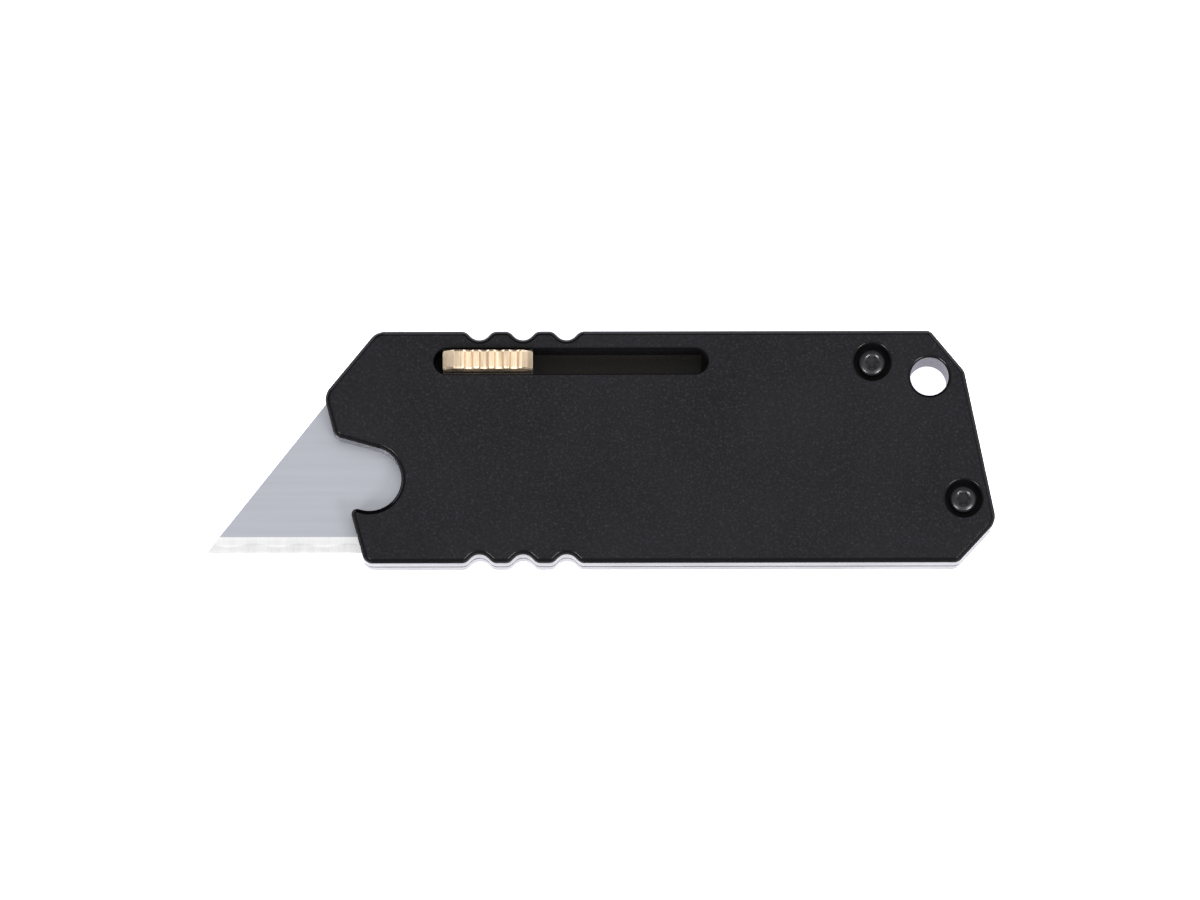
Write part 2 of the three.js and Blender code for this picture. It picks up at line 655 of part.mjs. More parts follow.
/** A compression spring standing on z = 0. */
function spring() {
  class Helix extends THREE.Curve {
    getPoint(t, target = new THREE.Vector3()) {
      const angle = t * SPRING.turns * 2 * Math.PI;
      const radius = SPRING.outer - SPRING.wire;
      const climb = SPRING.room - 2 * SPRING.wire - 2 * FIT;
      return target.set(radius * Math.cos(angle), radius * Math.sin(angle), SPRING.wire + FIT + climb * t);
    }
  }
  const section = new THREE.Shape().absarc(0, 0, SPRING.wire, 0, 2 * Math.PI);
  const steps = SPRING.turns * SPRING.stepsEach;
  const options = { steps, curveSegments: 3, bevelEnabled: false, extrudePath: new Helix() };
  return solidFrom(new THREE.ExtrudeGeometry(section, options));
}

function detentStrip() {
  const low = ball.y - STRIP.width / 2;
  const end = ball.x + TRAVEL + STRIP.past;
  const plate = block(ball.x - STRIP.past, low, 0, end, low + STRIP.width, STRIP.thickness);
  const holes = [ball.x, ball.x + TRAVEL].map((x) =>
    borer({ x, y: ball.y }, STRIP.holeRadius, -BEYOND, STRIP.thickness, 0, SMALL_ROUND),
  );
  return cut(plate, ...holes);
}

function magnet() {
  const { radius, thickness } = MAGNET;
  return turned([[0, 0], [radius, 0], [radius, thickness], [0, thickness]]);
}

const detentBall = () => solidFrom(new THREE.SphereGeometry(BALL.radius, SMALL_ROUND, SMALL_ROUND / 2));

// ---------- assembly ----------

function finish(color, metalness, roughness) {
  return new THREE.MeshStandardMaterial({ color, metalness, roughness });
}

const BLACK_ANODISED = finish(0x26262a, 0.6, 0.5);
const BLACK_OXIDE = finish(0x18181b, 0.9, 0.35);
const BLADE_STEEL = finish(0xb4b6c2, 1, 0.3);
const STAINLESS = finish(0x8d8f94, 1, 0.4);
const BRASS = finish(0xd9bd92, 1, 0.35);
const NICKEL = finish(0xb9bbc0, 1, 0.25);
const SPRING_STEEL = finish(0x6a5c56, 1, 0.45);

/** A named mesh of a solid, placed in a group. */
function place(group, name, solid, material, [x, y, z] = [0, 0, 0]) {
  const mesh = new THREE.Mesh(geometryFrom(solid), material);
  mesh.name = name;
  mesh.position.set(x, y, z);
  group.add(mesh);
  return mesh;
}

/** The fixed half of the knife: scales, strip, and the pieces that clamp and locate them. */
function shellGroup() {
  const group = new THREE.Group();
  place(group, "front_scale", frontScale(), BLACK_ANODISED);
  place(group, "rear_scale", rearScale(), BLACK_ANODISED);
  place(group, "detent_strip", detentStrip(), SPRING_STEEL, [0, 0, stripBackZ + FIT / 2]);

  const clamp = (end, { x, y }, fromRear) => {
    const seatZ = fromRear ? BODY_THICKNESS - bodyScrewSeatZ : bodyScrewSeatZ;
    const insertZ = seamZ + (fromRear ? INSERT.length : -INSERT.length);
    const bodyScrew = screw(BODY_SCREW, bodyScrewDepth);
    return [
      place(group, `body_screw_${end}`, bodyScrew, BLACK_OXIDE, [x, y, seatZ]),
      place(group, `insert_${end}`, insert(), STAINLESS, [x, y, insertZ]),
    ];
  };
  clamp("upper", screwUpper, false);
  clamp("lower", screwLower, false);
  clamp("nose", screwNose, true).forEach((mesh) => {
    mesh.rotation.x = Math.PI;
  });

  place(group, "dowel_nose", dowel(), STAINLESS, [dowelNose.x, dowelNose.y, seamZ]);
  place(group, "dowel_tail", dowel(), STAINLESS, [dowelTail.x, dowelTail.y, seamZ]);
  return group;
}

/** The sliding half: blade, carrier, thumb slider and what is in them. It slides along +X by TRAVEL. */
function slideGroup() {
  const group = new THREE.Group();
  place(group, "blade", bladeSolid(), BLADE_STEEL, [blade.x, blade.edgeY, seamZ]);
  place(group, "blade_carrier", carrier(), STAINLESS);
  place(group, "thumb_slider", slider(), BRASS, [sliderX, slotY, footZ + FIT]);
  ["front", "rear"].forEach((end, i) => {
    const sliderScrew = screw(SLIDER_SCREW, sliderScrewDepth);
    const seat = [sliderScrewXs[i], slotY, sliderScrewSeatZ];
    place(group, `slider_screw_${end}`, sliderScrew, BLACK_OXIDE, seat).rotation.x = Math.PI;
    const magnetZ = tongue.top - MAGNET.thickness - FIT / 2;
    place(group, `blade_magnet_${end}`, magnet(), NICKEL, [magnetXs[i], magnetY, magnetZ]);
  });
  place(group, "detent_spring", spring(), STAINLESS, [ball.x, ball.y, springFootZ]);
  place(group, "detent_ball", detentBall(), NICKEL, [ball.x, ball.y, ball.z]);
  return group;
}

const knife = new THREE.Group();
knife.add(shellGroup(), slideGroup());

// The origin is under the middle of the whole knife, blade out, on the surface that it lies on.
const tipX = blade.x - BLADE.length / 2;
const endX = Math.max(...outline(body).map((point) => point.x));
knife.position.x = -(tipX + endX) / 2;

const part = new THREE.Group();
part.add(knife);

export default part;
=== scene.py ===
"""A slide-out utility knife: black scales, a trapezoid blade, a grooved brass thumb slider and black screws."""

import json
import math

import bmesh
import bpy
from bpy.props import FloatProperty, FloatVectorProperty, IntProperty, PointerProperty
from bpy.types import Operator, Panel, PropertyGroup
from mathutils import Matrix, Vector


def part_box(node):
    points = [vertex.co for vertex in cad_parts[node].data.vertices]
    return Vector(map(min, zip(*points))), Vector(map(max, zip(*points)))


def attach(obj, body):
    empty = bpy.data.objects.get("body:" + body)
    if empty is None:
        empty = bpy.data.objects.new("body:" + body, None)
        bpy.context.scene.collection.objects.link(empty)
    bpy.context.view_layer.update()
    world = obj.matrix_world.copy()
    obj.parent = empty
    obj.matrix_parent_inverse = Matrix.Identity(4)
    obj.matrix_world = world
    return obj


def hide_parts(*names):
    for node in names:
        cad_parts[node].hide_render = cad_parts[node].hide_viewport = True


bl_info = {
    "name": "Utility Knife",
    "version": (1, 0, 0),
    "blender": (4, 5, 0),
    "location": "3D View > Sidebar > Knife",
    "description": "Builds the finished look of a slide-out utility knife around its packed frame",
    "category": "Add Mesh",
}

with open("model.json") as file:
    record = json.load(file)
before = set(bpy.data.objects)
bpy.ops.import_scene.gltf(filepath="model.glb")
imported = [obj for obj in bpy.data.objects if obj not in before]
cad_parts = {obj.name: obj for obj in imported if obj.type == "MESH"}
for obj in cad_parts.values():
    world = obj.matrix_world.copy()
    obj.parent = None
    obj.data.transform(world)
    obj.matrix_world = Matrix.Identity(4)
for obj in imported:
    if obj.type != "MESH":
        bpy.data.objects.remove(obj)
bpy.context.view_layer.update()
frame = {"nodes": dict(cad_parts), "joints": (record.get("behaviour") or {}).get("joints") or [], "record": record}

MM = 0.001
TINY = 0.002 * MM
BEYOND = 1 * MM  # how far a cutter runs past what it cuts
CHORD_ERROR = 0.006 * MM  # how far a rounded edge may stray from its arc
BREAK_TURN = math.radians(22.5)
FRONT_LOW, FRONT_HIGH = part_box("front_scale")
REAR_LOW, REAR_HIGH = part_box("rear_scale")
BLADE_LOW, BLADE_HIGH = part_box("blade")
SLIDER_LOW, SLIDER_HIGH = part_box("thumb_slider")
CARRIER_LOW, CARRIER_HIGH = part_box("blade_carrier")
STRIP_LOW, STRIP_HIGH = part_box("detent_strip")
SEAM_Z = (FRONT_LOW.z + REAR_HIGH.z) / 2
SLOT_Y = (SLIDER_LOW.y + SLIDER_HIGH.y) / 2
TRAVEL = next(joint["range_m"][1] for joint in frame["joints"] if joint["name"] == "blade_slide")


def middle(node):
    """The middle of a CAD node's box."""
    low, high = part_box(node)
    return (low + high) / 2


# ---------- sizes and colours that a user would change ----------


def length(name, description, millimetres):
    return FloatProperty(
        name=name, description=description, default=millimetres * MM, unit="LENGTH", precision=5
    )


def angle(name, description, degrees):
    return FloatProperty(
        name=name, description=description, default=math.radians(degrees), unit="ROTATION"
    )


def colour(name, description, value):
    return FloatVectorProperty(
        name=name, description=description, default=value, subtype="COLOR", size=3, min=0, max=1
    )


class KNIFE_PG_body(PropertyGroup):
    """Sizes of the two scales."""

    blade_reach: length("Blade reach", "How far the blade's tip stands out past the nose", 14.55)
    body_length: length("Length", "Between the outline's unrounded ends", 82.8)
    nose_run: length("Nose cut, run", "Length of the slanted nose along the top edge", 6.5)
    nose_drop: length("Nose cut, drop", "Height of the slanted nose", 7.9)
    front_lean: angle("Front lean", "Lean of the front edge from upright", 15)
    hook_proud: length("Hook step", "How far the hook stands out past the front edge above it", 0.5)
    tail_top_run: length("Upper tail cut, run", "Along the top edge", 4.2)
    tail_top_drop: length("Upper tail cut, drop", "Down the tail", 5.05)
    tail_foot_run: length("Lower tail cut, run", "Along the bottom edge", 4.75)
    tail_foot_rise: length("Lower tail cut, rise", "Up the tail", 5.1)
    tail_lean: angle("Tail lean", "Lean of the tail edge from upright", 11.6)
    chamfer: length("Chamfer", "Width of the chamfer round each face", 0.56)
    edge_rounding: length("Edge rounding", "Width of a broken edge", 0.12)
    seam_break: length("Seam break", "Width of the chamfer on the edges that meet at the parting line", 0.18)
    finger_radius: length("Finger notch radius", "Radius of the notch's round end", 3.95)
    finger_from_nose: length("Finger notch from nose", "Nose to the middle of the round end", 5.65)
    finger_from_foot: length("Finger notch from foot", "Bottom edge to the same point", 10.5)
    finger_dip: angle("Finger notch dip", "How far the notch points down towards the tail", 15.5)
    grip_from_nose: length("First grip notch", "Nose to the first grip notch", 19.2)
    grip_pitch: length("Grip pitch", "Spacing of the grip notches", 5.37)
    grip_half_width: length("Grip half width", "Half the width of a notch before rounding", 1.7)
    grip_bottom: length("Grip bottom radius", "Radius at the bottom of a notch", 1.5)
    grip_shoulder: length("Grip shoulder radius", "Radius of a notch's shoulders", 1.0)
    grip_count: IntProperty(name="Grips", description="Notches in each long edge", default=3, min=1)


class KNIFE_PG_openings(PropertyGroup):
    """Sizes of what is cut through and into the scales."""

    slot_end_gap: length("Slot end gap", "Room past the slider at each end of its travel", 1.1)
    slot_side_gap: length("Slot side gap", "Room beside the slider", 0.43)
    slot_rim: length("Slot rim", "Chamfer round the slot", 0.17)
    lanyard_radius: length("Lanyard hole radius", "Radius of the lanyard hole", 2.36)
    lanyard_from_tail: length("Lanyard hole from tail", "Tail to the middle of the hole", 8.15)
    lanyard_from_top: length("Lanyard hole from top", "Top edge to the middle of the hole", 5.77)
    lanyard_rim: length("Lanyard hole rim", "Chamfer round the hole", 0.22)
    hole_radius: length("Screw hole radius", "Radius of a body screw's through hole", 1.12)
    counterbore_radius: length("Counterbore radius", "Radius round a body screw's head", 2.28)
    counterbore_depth: length("Counterbore depth", "Depth to the screw's seat", 2.1)
    counterbore_rim: length("Counterbore rim", "Chamfer round the counterbore", 0.14)
    clearance: length("Running clearance", "Room round the parts that slide", 0.15)
    end_clearance: length("End clearance", "Room at the ends of the travel", 0.3)
    front_wall: length("Front wall", "Front scale over the slider's channel", 1.5)
    rear_wall: length("Rear wall", "Rear scale under the slider's channel", 1.0)
    channel_wall: length("Channel wall", "Scale between the channel and the top edge", 2.0)


class KNIFE_PG_blade(PropertyGroup):
    """Sizes of the blade."""

    slant: angle("Slant", "Angle between the cutting edge and the ends", 51.5)
    grind: length("Grind", "Width of the whole ground bevel", 1.98)
    honed: length("Honed band", "Width of the steeper band along the edge", 0.98)
    scallop: length("Scallop", "Spacing of the waves where the two ground bands meet", 5.9)
    step_thickness: length("Thickness at the step", "Where the two ground bands meet", 0.36)
    edge_thickness: length("Edge thickness", "Thickness left at the cutting edge", 0.04)
    notch_spacing: length("Notch spacing", "Between the two notches in the spine", 11)
    notch_width: length("Notch width", "Width of a spine notch", 3.2)
    notch_depth: length("Notch depth", "Depth of a spine notch", 2.4)
    notch_radius: length("Notch radius", "Corner radius of a spine notch", 0.7)


class KNIFE_PG_slider(PropertyGroup):
    """Sizes of the thumb slider."""

    ramp: length("Ramp", "Length of the slope at each end", 1.3)
    ramp_drop: length("Ramp drop", "Height of the slope at each end", 1.35)
    groove_pitch: length("Groove pitch", "Spacing of the grooves", 1.87)
    groove_width: length("Groove width", "Width of a groove at the top", 1.2)
    groove_depth: length("Groove depth", "Depth of a groove in its middle", 0.4)
    groove_shift: length("Groove shift", "How far the grooves lie rearwards of the slider's middle", 0.46)
    lip: length("Edge rounding", "Width of the rounding on its crosswise edges", 0.09)
    side_chamfer: length("Side chamfer", "Width of the chamfer along both sides", 0.2)
    foot_inset: length("Foot inset", "Step in from each end to the foot", 0.8)
    bore_radius: length("Bore radius", "Radius of the bores that its screws bite in", 0.83)
    foot_depth: length("Foot depth", "Height of the foot in the carrier", 1.1)
    groove_count: IntProperty(name="Grooves", description="Grooves across the top", default=4, min=1)


class KNIFE_PG_screws(PropertyGroup):
    """Sizes of the screws."""

    head_height: length("Head height", "Height of a body screw's head", 1.3)
    slider_head_height: length("Slider screw head height", "Height of a slider screw's head", 0.8)
    shank_radius: length("Shank radius", "Outside radius of a body screw's thread", 1.0)
    slider_shank_radius: length("Slider screw shank radius", "Outside radius of its thread", 0.8)
    crown_fall: FloatProperty(
        name="Crown fall", description="How far a head's crown falls to its rim, in head radii", default=0.171
    )
    thread_pitch: length("Thread pitch", "Spacing of the thread's ridges", 0.4)
    thread_depth: length("Thread depth", "Depth between the thread's ridges", 0.14)
    socket_share: FloatProperty(
        name="Socket", description="Outer radius of the driver socket, in head radii", default=0.55
    )
    socket_depth: FloatProperty(
        name="Socket depth", description="Depth of the driver socket, in head heights", default=0.62
    )


class KNIFE_PG_finish(PropertyGroup):
    """Colours of the finishes."""

    anodised: colour("Black anodising", "The scales", (0.0026, 0.0024, 0.0036))
    # Painted light: a paler colour for the deep channel floor, standing for light that reaches down the slot.
    channel_floor: colour("Channel floor", "The slider channel's worn floor", (0.026, 0.023, 0.02))
    blade_steel: colour("Blade steel", "The flat of the blade", (0.41, 0.42, 0.465))
    brass: colour("Slider brass", "The thumb slider", (0.72, 0.575, 0.41))
    oxide: colour("Black oxide", "The screws", (0.006, 0.006, 0.007))
    carrier: colour("Carrier black", "The blade carrier", (0.028, 0.027, 0.026))
    stainless: colour("Stainless steel", "Inserts, dowels and detent ball", (0.5, 0.5, 0.51))
    spring_steel: colour("Spring steel", "Detent strip and spring", (0.3, 0.28, 0.27))
    nickel: colour("Nickel", "The magnets", (0.66, 0.66, 0.68))


class KNIFE_PG_stage(PropertyGroup):
    """Floor, lights and camera."""

    elevation: angle("Camera elevation", "Height of the camera above the floor's plane", 82.5)
    roll: angle("Camera roll", "Turn of the camera about its view", -0.12)
    distance: FloatProperty(
        name="Camera distance", description="From the aim", default=1.05, unit="LENGTH"
    )
    lens: FloatProperty(name="Lens", description="Focal length", default=255.0, unit="CAMERA")
    aim_y: length("Aim", "Height of the aim on the knife, at mid-thickness", 0.11)
    glow: FloatProperty(name="Floor glow", description="Light that the floor gives", default=1.35)
    glow_reach: length("Glow reach", "How far past the knife the floor's glow is full", 12)
    floor_size: FloatProperty(
        name="Floor size", description="Side of the floor", default=4.0, unit="LENGTH"
    )


# ---------- modelling by hand, step by step ----------


def use(piece):
    """Makes one piece the only selected one, and the active one."""
    bpy.ops.object.select_all(action="DESELECT")
    piece.select_set(True)
    bpy.context.view_layer.objects.active = piece


def named(piece, name):
    piece.name = name
    piece.data.name = name
    return piece


def settle(piece):
    """Puts a piece's place, turn and scale into its mesh."""
    use(piece)
    bpy.ops.object.transform_apply(location=True, rotation=True, scale=True)
    return piece


def add_block(name, low, high):
    """A block between two corners."""
    low, high = Vector(low), Vector(high)
    bpy.ops.object.select_all(action="DESELECT")
    bpy.ops.mesh.primitive_cube_add(size=1, location=(low + high) / 2)
    piece = named(bpy.context.object, name)
    piece.scale = high - low
    return settle(piece)


def add_rod(name, place, radius, low, high, top_radius=None, sides=64):
    """An upright rod at (x, y), or a cone where the top has a radius of its own."""
    bpy.ops.object.select_all(action="DESELECT")
    bpy.ops.mesh.primitive_cone_add(
        vertices=sides,
        radius1=radius,
        radius2=radius if top_radius is None else top_radius,
        depth=high - low,
        location=(place[0], place[1], (low + high) / 2),
    )
    return settle(named(bpy.context.object, name))


def copy_of(piece, name):
    """A copy with a mesh of its own."""
    twin = piece.copy()
    twin.data = piece.data.copy()
    bpy.context.scene.collection.objects.link(twin)
    return named(twin, name)


def discard(piece):
    bpy.data.meshes.remove(piece.data)


def pick(piece, kind, wanted):
    """Enters edit mode with only the wanted faces, edges or vertices selected."""
    use(piece)
    bpy.ops.object.mode_set(mode="EDIT")
    bpy.ops.mesh.select_mode(type=kind)
    bpy.ops.mesh.select_all(action="DESELECT")
    shape = bmesh.from_edit_mesh(piece.data)
    shape.normal_update()
    items = {"FACE": shape.faces, "EDGE": shape.edges, "VERT": shape.verts}[kind]
    found = [item for item in items if wanted(item)]
    for item in found:
        item.select_set(True)
    bmesh.update_edit_mesh(piece.data)
    if not found:
        raise RuntimeError(f"nothing to pick on {piece.name}")


def leave():
    bpy.ops.object.mode_set(mode="OBJECT")


def everything(_item):
    return True


def face_outwards(piece):
    """Merges doubled vertices and turns every face outwards."""
    pick(piece, "VERT", everything)
    bpy.ops.mesh.remove_doubles(threshold=TINY / 4)
    bpy.ops.mesh.select_all(action="SELECT")
    bpy.ops.mesh.normals_make_consistent(inside=False)
    leave()
    return piece


def slice_off(piece, point, outward):
    """Cuts along a plane and removes what lies on its outward side."""
    pick(piece, "FACE", everything)
    bpy.ops.mesh.bisect(
        plane_co=point, plane_no=outward, use_fill=True, clear_outer=True, threshold=TINY / 10
    )
    leave()


def is_upright(edge):
    first, second = (vertex.co for vertex in edge.verts)
    return (first - second).xy.length < TINY and abs(first.z - second.z) > TINY


def round_upright(piece, radius, places=None):
    """Rounds upright edges to a radius: all of them, or those at the given (x, y) places."""
    turns = []

    def wanted(edge, away=0.0):
        if not is_upright(edge):
            return False
        spot = edge.verts[0].co.xy
        if places is not None and all(abs((spot - Vector(at)).length - away) > 20 * TINY for at in places):
            return False
        turns.append(edge.calc_face_angle())
        return True

    pick(piece, "EDGE", wanted)
    turn = turns[0]
    if turn > math.radians(100):
        # A very sharp corner is first cut square to its middle, so that each half rounds truly.
        away = radius * (math.tan(turn / 2) - math.tan(turn / 4))
        bpy.ops.mesh.bevel(offset_type="OFFSET", offset=away, segments=1, affect="EDGES", clamp_overlap=False)
        leave()
        pick(piece, "EDGE", lambda edge: wanted(edge, away))
        turn /= 2
    bpy.ops.mesh.bevel(
        offset_type="OFFSET",
        offset=radius * math.tan(turn / 2),
        segments=max(2, math.ceil(turn / (2 * math.acos(1 - CHORD_ERROR / radius)))),
        affect="EDGES",
        clamp_overlap=False,
    )
    leave()


def combine(piece, tool, operation="DIFFERENCE"):
    """Cuts a piece with a tool, or joins the tool to it. The tool is used up."""
    use(piece)
    modifier = piece.modifiers.new("combine", "BOOLEAN")
    modifier.operation = operation
    modifier.solver = "EXACT"
    modifier.object = tool
    bpy.ops.object.modifier_apply(modifier=modifier.name)
    discard(tool)


def cut(piece, *tools):
    for tool in tools:
        combine(piece, tool)


def smooth(piece, least=math.radians(28)):
    """Shades smoothly over all but sharp edges, and keeps broad faces flat beside rounded edges."""
    face_outwards(piece)
    use(piece)
    bpy.ops.object.shade_smooth_by_angle(angle=least)
    modifier = piece.modifiers.new("flat faces", "WEIGHTED_NORMAL")
    modifier.keep_sharp = True
    modifier.weight = 90
    bpy.ops.object.modifier_apply(modifier=modifier.name)
    return piece


def trace(name, points):
    """A flat face drawn point by point: one vertex, extruded along the outline and filled."""
    here = Vector(points[0])
    bpy.ops.object.select_all(action="DESELECT")
    bpy.ops.mesh.primitive_plane_add(size=MM, location=here)
    piece = settle(named(bpy.context.object, name))
    pick(piece, "VERT", everything)
    bpy.ops.mesh.merge(type="CENTER")
    for point in points[1:]:
        bpy.ops.mesh.extrude_region_move(TRANSFORM_OT_translate={"value": Vector(point) - here})
        here = Vector(point)
    bpy.ops.mesh.select_all(action="SELECT")
    bpy.ops.mesh.edge_face_add()
    leave()
    return piece


def break_edge(width, main=0.0):
    """Insets the picked face upwards in steps: a rounded edge, then a chamfer, then a rounded edge."""
    small, large = width * math.sin(BREAK_TURN), width * math.cos(BREAK_TURN)
    for inwards, upwards in ((small, large), (main, main), (large, small)):
        bpy.ops.mesh.inset(thickness=inwards, depth=upwards, use_even_offset=True)


def break_size(width):
    """How far the two rounded edges of break_edge reach, both inwards and upwards."""
    return width * (math.sin(BREAK_TURN) + math.cos(BREAK_TURN))


def finish_piece(piece, body, slot, material, *nodes):
    """Gives a finished piece its material, its body and the CAD nodes that it stands for."""
    piece.data.materials.clear()
    piece.data.materials.append(material)
    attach(piece, body)
    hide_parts(*nodes)


# ---------- effects that several materials share ----------


def new_group(name, inputs, outputs):
    """An empty shader group with named sockets, and its input and output nodes."""
    group = bpy.data.node_groups.new(name, "ShaderNodeTree")
    for label, default in inputs.items():
        group.interface.new_socket(label, in_out="INPUT", socket_type="NodeSocketFloat").default_value = default
    for label in outputs:
        group.interface.new_socket(label, in_out="OUTPUT", socket_type="NodeSocketFloat")
    return group, group.nodes.new("NodeGroupInput"), group.nodes.new("NodeGroupOutput")


def noise(tree, vector, scale, detail=2.0, roughness=0.5):
    """A noise texture read at a vector socket. The scale is a number or a socket."""
    node = tree.nodes.new("ShaderNodeTexNoise")
    node.inputs["Detail"].default_value = detail
    node.inputs["Roughness"].default_value = roughness
    tree.links.new(vector, node.inputs["Vector"])
    if isinstance(scale, bpy.types.NodeSocket):
        tree.links.new(scale, node.inputs["Scale"])
    else:
        node.inputs["Scale"].default_value = scale
    return node.outputs["Fac"]


def arithmetic(tree, operation, first, second=None, third=None):
    node = tree.nodes.new("ShaderNodeMath")
    node.operation = operation
    for socket, value in zip(node.inputs, (first, second, third)):
        if isinstance(value, bpy.types.NodeSocket):
            tree.links.new(value, socket)
        elif value is not None:
            socket.default_value = value
    return node.outputs[0]


def remap(tree, value, low, high, to_low=0.0, to_high=1.0):
    """Maps a value from one range to another, held at its ends."""
    node = tree.nodes.new("ShaderNodeMapRange")
    for label, number in zip(("From Min", "From Max", "To Min", "To Max"), (low, high, to_low, to_high)):
        node.inputs[label].default_value = number
    tree.links.new(value, node.inputs["Value"])
    return node.outputs["Result"]


def mix_colours(tree, factor, first, second):
    node = tree.nodes.new("ShaderNodeMix")
    node.data_type = "RGBA"
    tree.links.new(factor, node.inputs["Factor"])
    for label, value in (("A", first), ("B", second)):
        socket = next(s for s in node.inputs if s.name == label and s.type == "RGBA")
        if isinstance(value, bpy.types.NodeSocket):
            tree.links.new(value, socket)
        else:
            socket.default_value = (*value, 1)
    return next(s for s in node.outputs if s.type == "RGBA")


def object_vector(tree, stretch=(1, 1, 1)):
    """Object coordinates, squeezed or stretched along each axis."""
    coordinates = tree.nodes.new("ShaderNodeTexCoord")
    mapping = tree.nodes.new("ShaderNodeMapping")
    mapping.inputs["Scale"].default_value = stretch
    tree.links.new(coordinates.outputs["Object"], mapping.inputs["Vector"])
    return mapping.outputs["Vector"]


def blasted_grain():
    """Fine blasted grain: its height, sparse pale specks and slow cloudy changes."""
    tree, into, out = new_group(
        "blasted_grain", {"Grain Scale": 9000.0, "Cloud Scale": 120.0}, ("Height", "Speck", "Cloud")
    )
    vector = object_vector(tree)
    fine = noise(tree, vector, into.outputs["Grain Scale"], detail=3, roughness=0.65)
    cloud = noise(tree, vector, into.outputs["Cloud Scale"], detail=4)
    tree.links.new(fine, out.inputs["Height"])
    tree.links.new(remap(tree, fine, 0.56, 0.72), out.inputs["Speck"])
    tree.links.new(remap(tree, cloud, 0.3, 0.7), out.inputs["Cloud"])
    return tree


def painted_edge_glint():
    """A mask that is full on machined edges and broken up along them, where highlights are painted into the colour."""
    tree, into, out = new_group("painted_edge_glint", {"Width": 0.00008, "Breakup": 900.0}, ("Mask",))
    rounded = tree.nodes.new("ShaderNodeBevel")
    rounded.samples = 4
    tree.links.new(into.outputs["Width"], rounded.inputs["Radius"])
    surface = tree.nodes.new("ShaderNodeNewGeometry")
    dot = tree.nodes.new("ShaderNodeVectorMath")
    dot.operation = "DOT_PRODUCT"
    tree.links.new(rounded.outputs["Normal"], dot.inputs[0])
    tree.links.new(surface.outputs["Normal"], dot.inputs[1])
    near = remap(tree, dot.outputs["Value"], 0.995, 0.93)
    breakup = remap(tree, noise(tree, object_vector(tree), into.outputs["Breakup"], detail=4), 0.35, 0.62)
    tree.links.new(arithmetic(tree, "MULTIPLY", near, breakup), out.inputs["Mask"])
    return tree


def cut_faces():
    """Masks of slanted faces, of level faces sunk to near the middle height, and of those on a deep floor."""
    tree, into, out = new_group(
        "cut_faces", {"Softness": 0.02, "Middle": 0.0, "Depth": 0.002}, ("Mask", "Sunk", "Deep")
    )
    surface = tree.nodes.new("ShaderNodeNewGeometry")
    turned = tree.nodes.new("ShaderNodeVectorTransform")
    turned.vector_type = "NORMAL"
    turned.convert_from, turned.convert_to = "WORLD", "OBJECT"
    tree.links.new(surface.outputs["True Normal"], turned.inputs[0])
    split = tree.nodes.new("ShaderNodeSeparateXYZ")
    tree.links.new(turned.outputs[0], split.inputs[0])
    tilt = arithmetic(tree, "ABSOLUTE", split.outputs["Z"])
    off_level = arithmetic(tree, "SUBTRACT", 0.98, tilt)
    off_upright = arithmetic(tree, "SUBTRACT", tilt, 0.2)
    nearer = arithmetic(tree, "MINIMUM", off_level, off_upright)
    soft = arithmetic(tree, "DIVIDE", nearer, into.outputs["Softness"])
    tree.links.new(arithmetic(tree, "MINIMUM", arithmetic(tree, "MAXIMUM", soft, 0.0), 1.0), out.inputs["Mask"])
    place = tree.nodes.new("ShaderNodeSeparateXYZ")
    tree.links.new(object_vector(tree), place.inputs[0])
    above = arithmetic(tree, "SUBTRACT", place.outputs["Z"], into.outputs["Middle"])
    away = arithmetic(tree, "ABSOLUTE", above)
    level = arithmetic(tree, "GREATER_THAN", tilt, 0.9)
    for label, operation in (("Sunk", "LESS_THAN"), ("Deep", "GREATER_THAN")):
        inside = arithmetic(tree, operation, away, into.outputs["Depth"])
        tree.links.new(arithmetic(tree, "MULTIPLY", inside, level), out.inputs[label])
    return tree


def brushed_lines():
    """Fine parallel lines from a brush or a grinding wheel, running along one axis."""
    tree, into, out = new_group("brushed_lines", {"Scale": 2500.0}, ("Height", "Streak"))
    coordinates = tree.nodes.new("NodeReroute")
    tree.interface.new_socket("Vector", in_out="INPUT", socket_type="NodeSocketVector")
    tree.links.new(into.outputs["Vector"], coordinates.inputs[0])
    fine = noise(tree, coordinates.outputs[0], into.outputs["Scale"], detail=4, roughness=0.7)
    broad_scale = arithmetic(tree, "MULTIPLY", into.outputs["Scale"], 0.15)
    broad = noise(tree, coordinates.outputs[0], broad_scale, detail=3)
    tree.links.new(fine, out.inputs["Height"])
    streak = arithmetic(tree, "ADD", arithmetic(tree, "MULTIPLY", fine, 0.5), arithmetic(tree, "MULTIPLY", broad, 0.5))
    tree.links.new(remap(tree, streak, 0.36, 0.64), out.inputs["Streak"])
    return tree


def group_node(tree, maker, **values):
    """Places a shared effect in a material, building its group the first time."""
    group = bpy.data.node_groups.get(maker.__name__) or maker()
    node = tree.nodes.new("ShaderNodeGroup")
    node.node_tree = group
    for label, value in values.items():
        socket = node.inputs[label.replace("_", " ").title()]
        if isinstance(value, bpy.types.NodeSocket):
            tree.links.new(value, socket)
        else:
            socket.default_value = value
    return node.outputs


def new_material(name, metallic, specular=0.5):
    """A material with only a Principled shader, and its node tree and shader."""
    material = bpy.data.materials.new(name)
    material.use_nodes = True
    shader = material.node_tree.nodes["Principled BSDF"]
    shader.inputs["Metallic"].default_value = metallic
    shader.inputs["Specular IOR Level"].default_value = specular
    return material, material.node_tree, shader


def bump(tree, shader, height, distance, strength=1.0):
    node = tree.nodes.new("ShaderNodeBump")
    node.inputs["Distance"].default_value = distance
    node.inputs["Strength"].default_value = strength
    tree.links.new(height, node.inputs["Height"])
    tree.links.new(node.outputs["Normal"], shader.inputs["Normal"])


# ---------- materials ----------


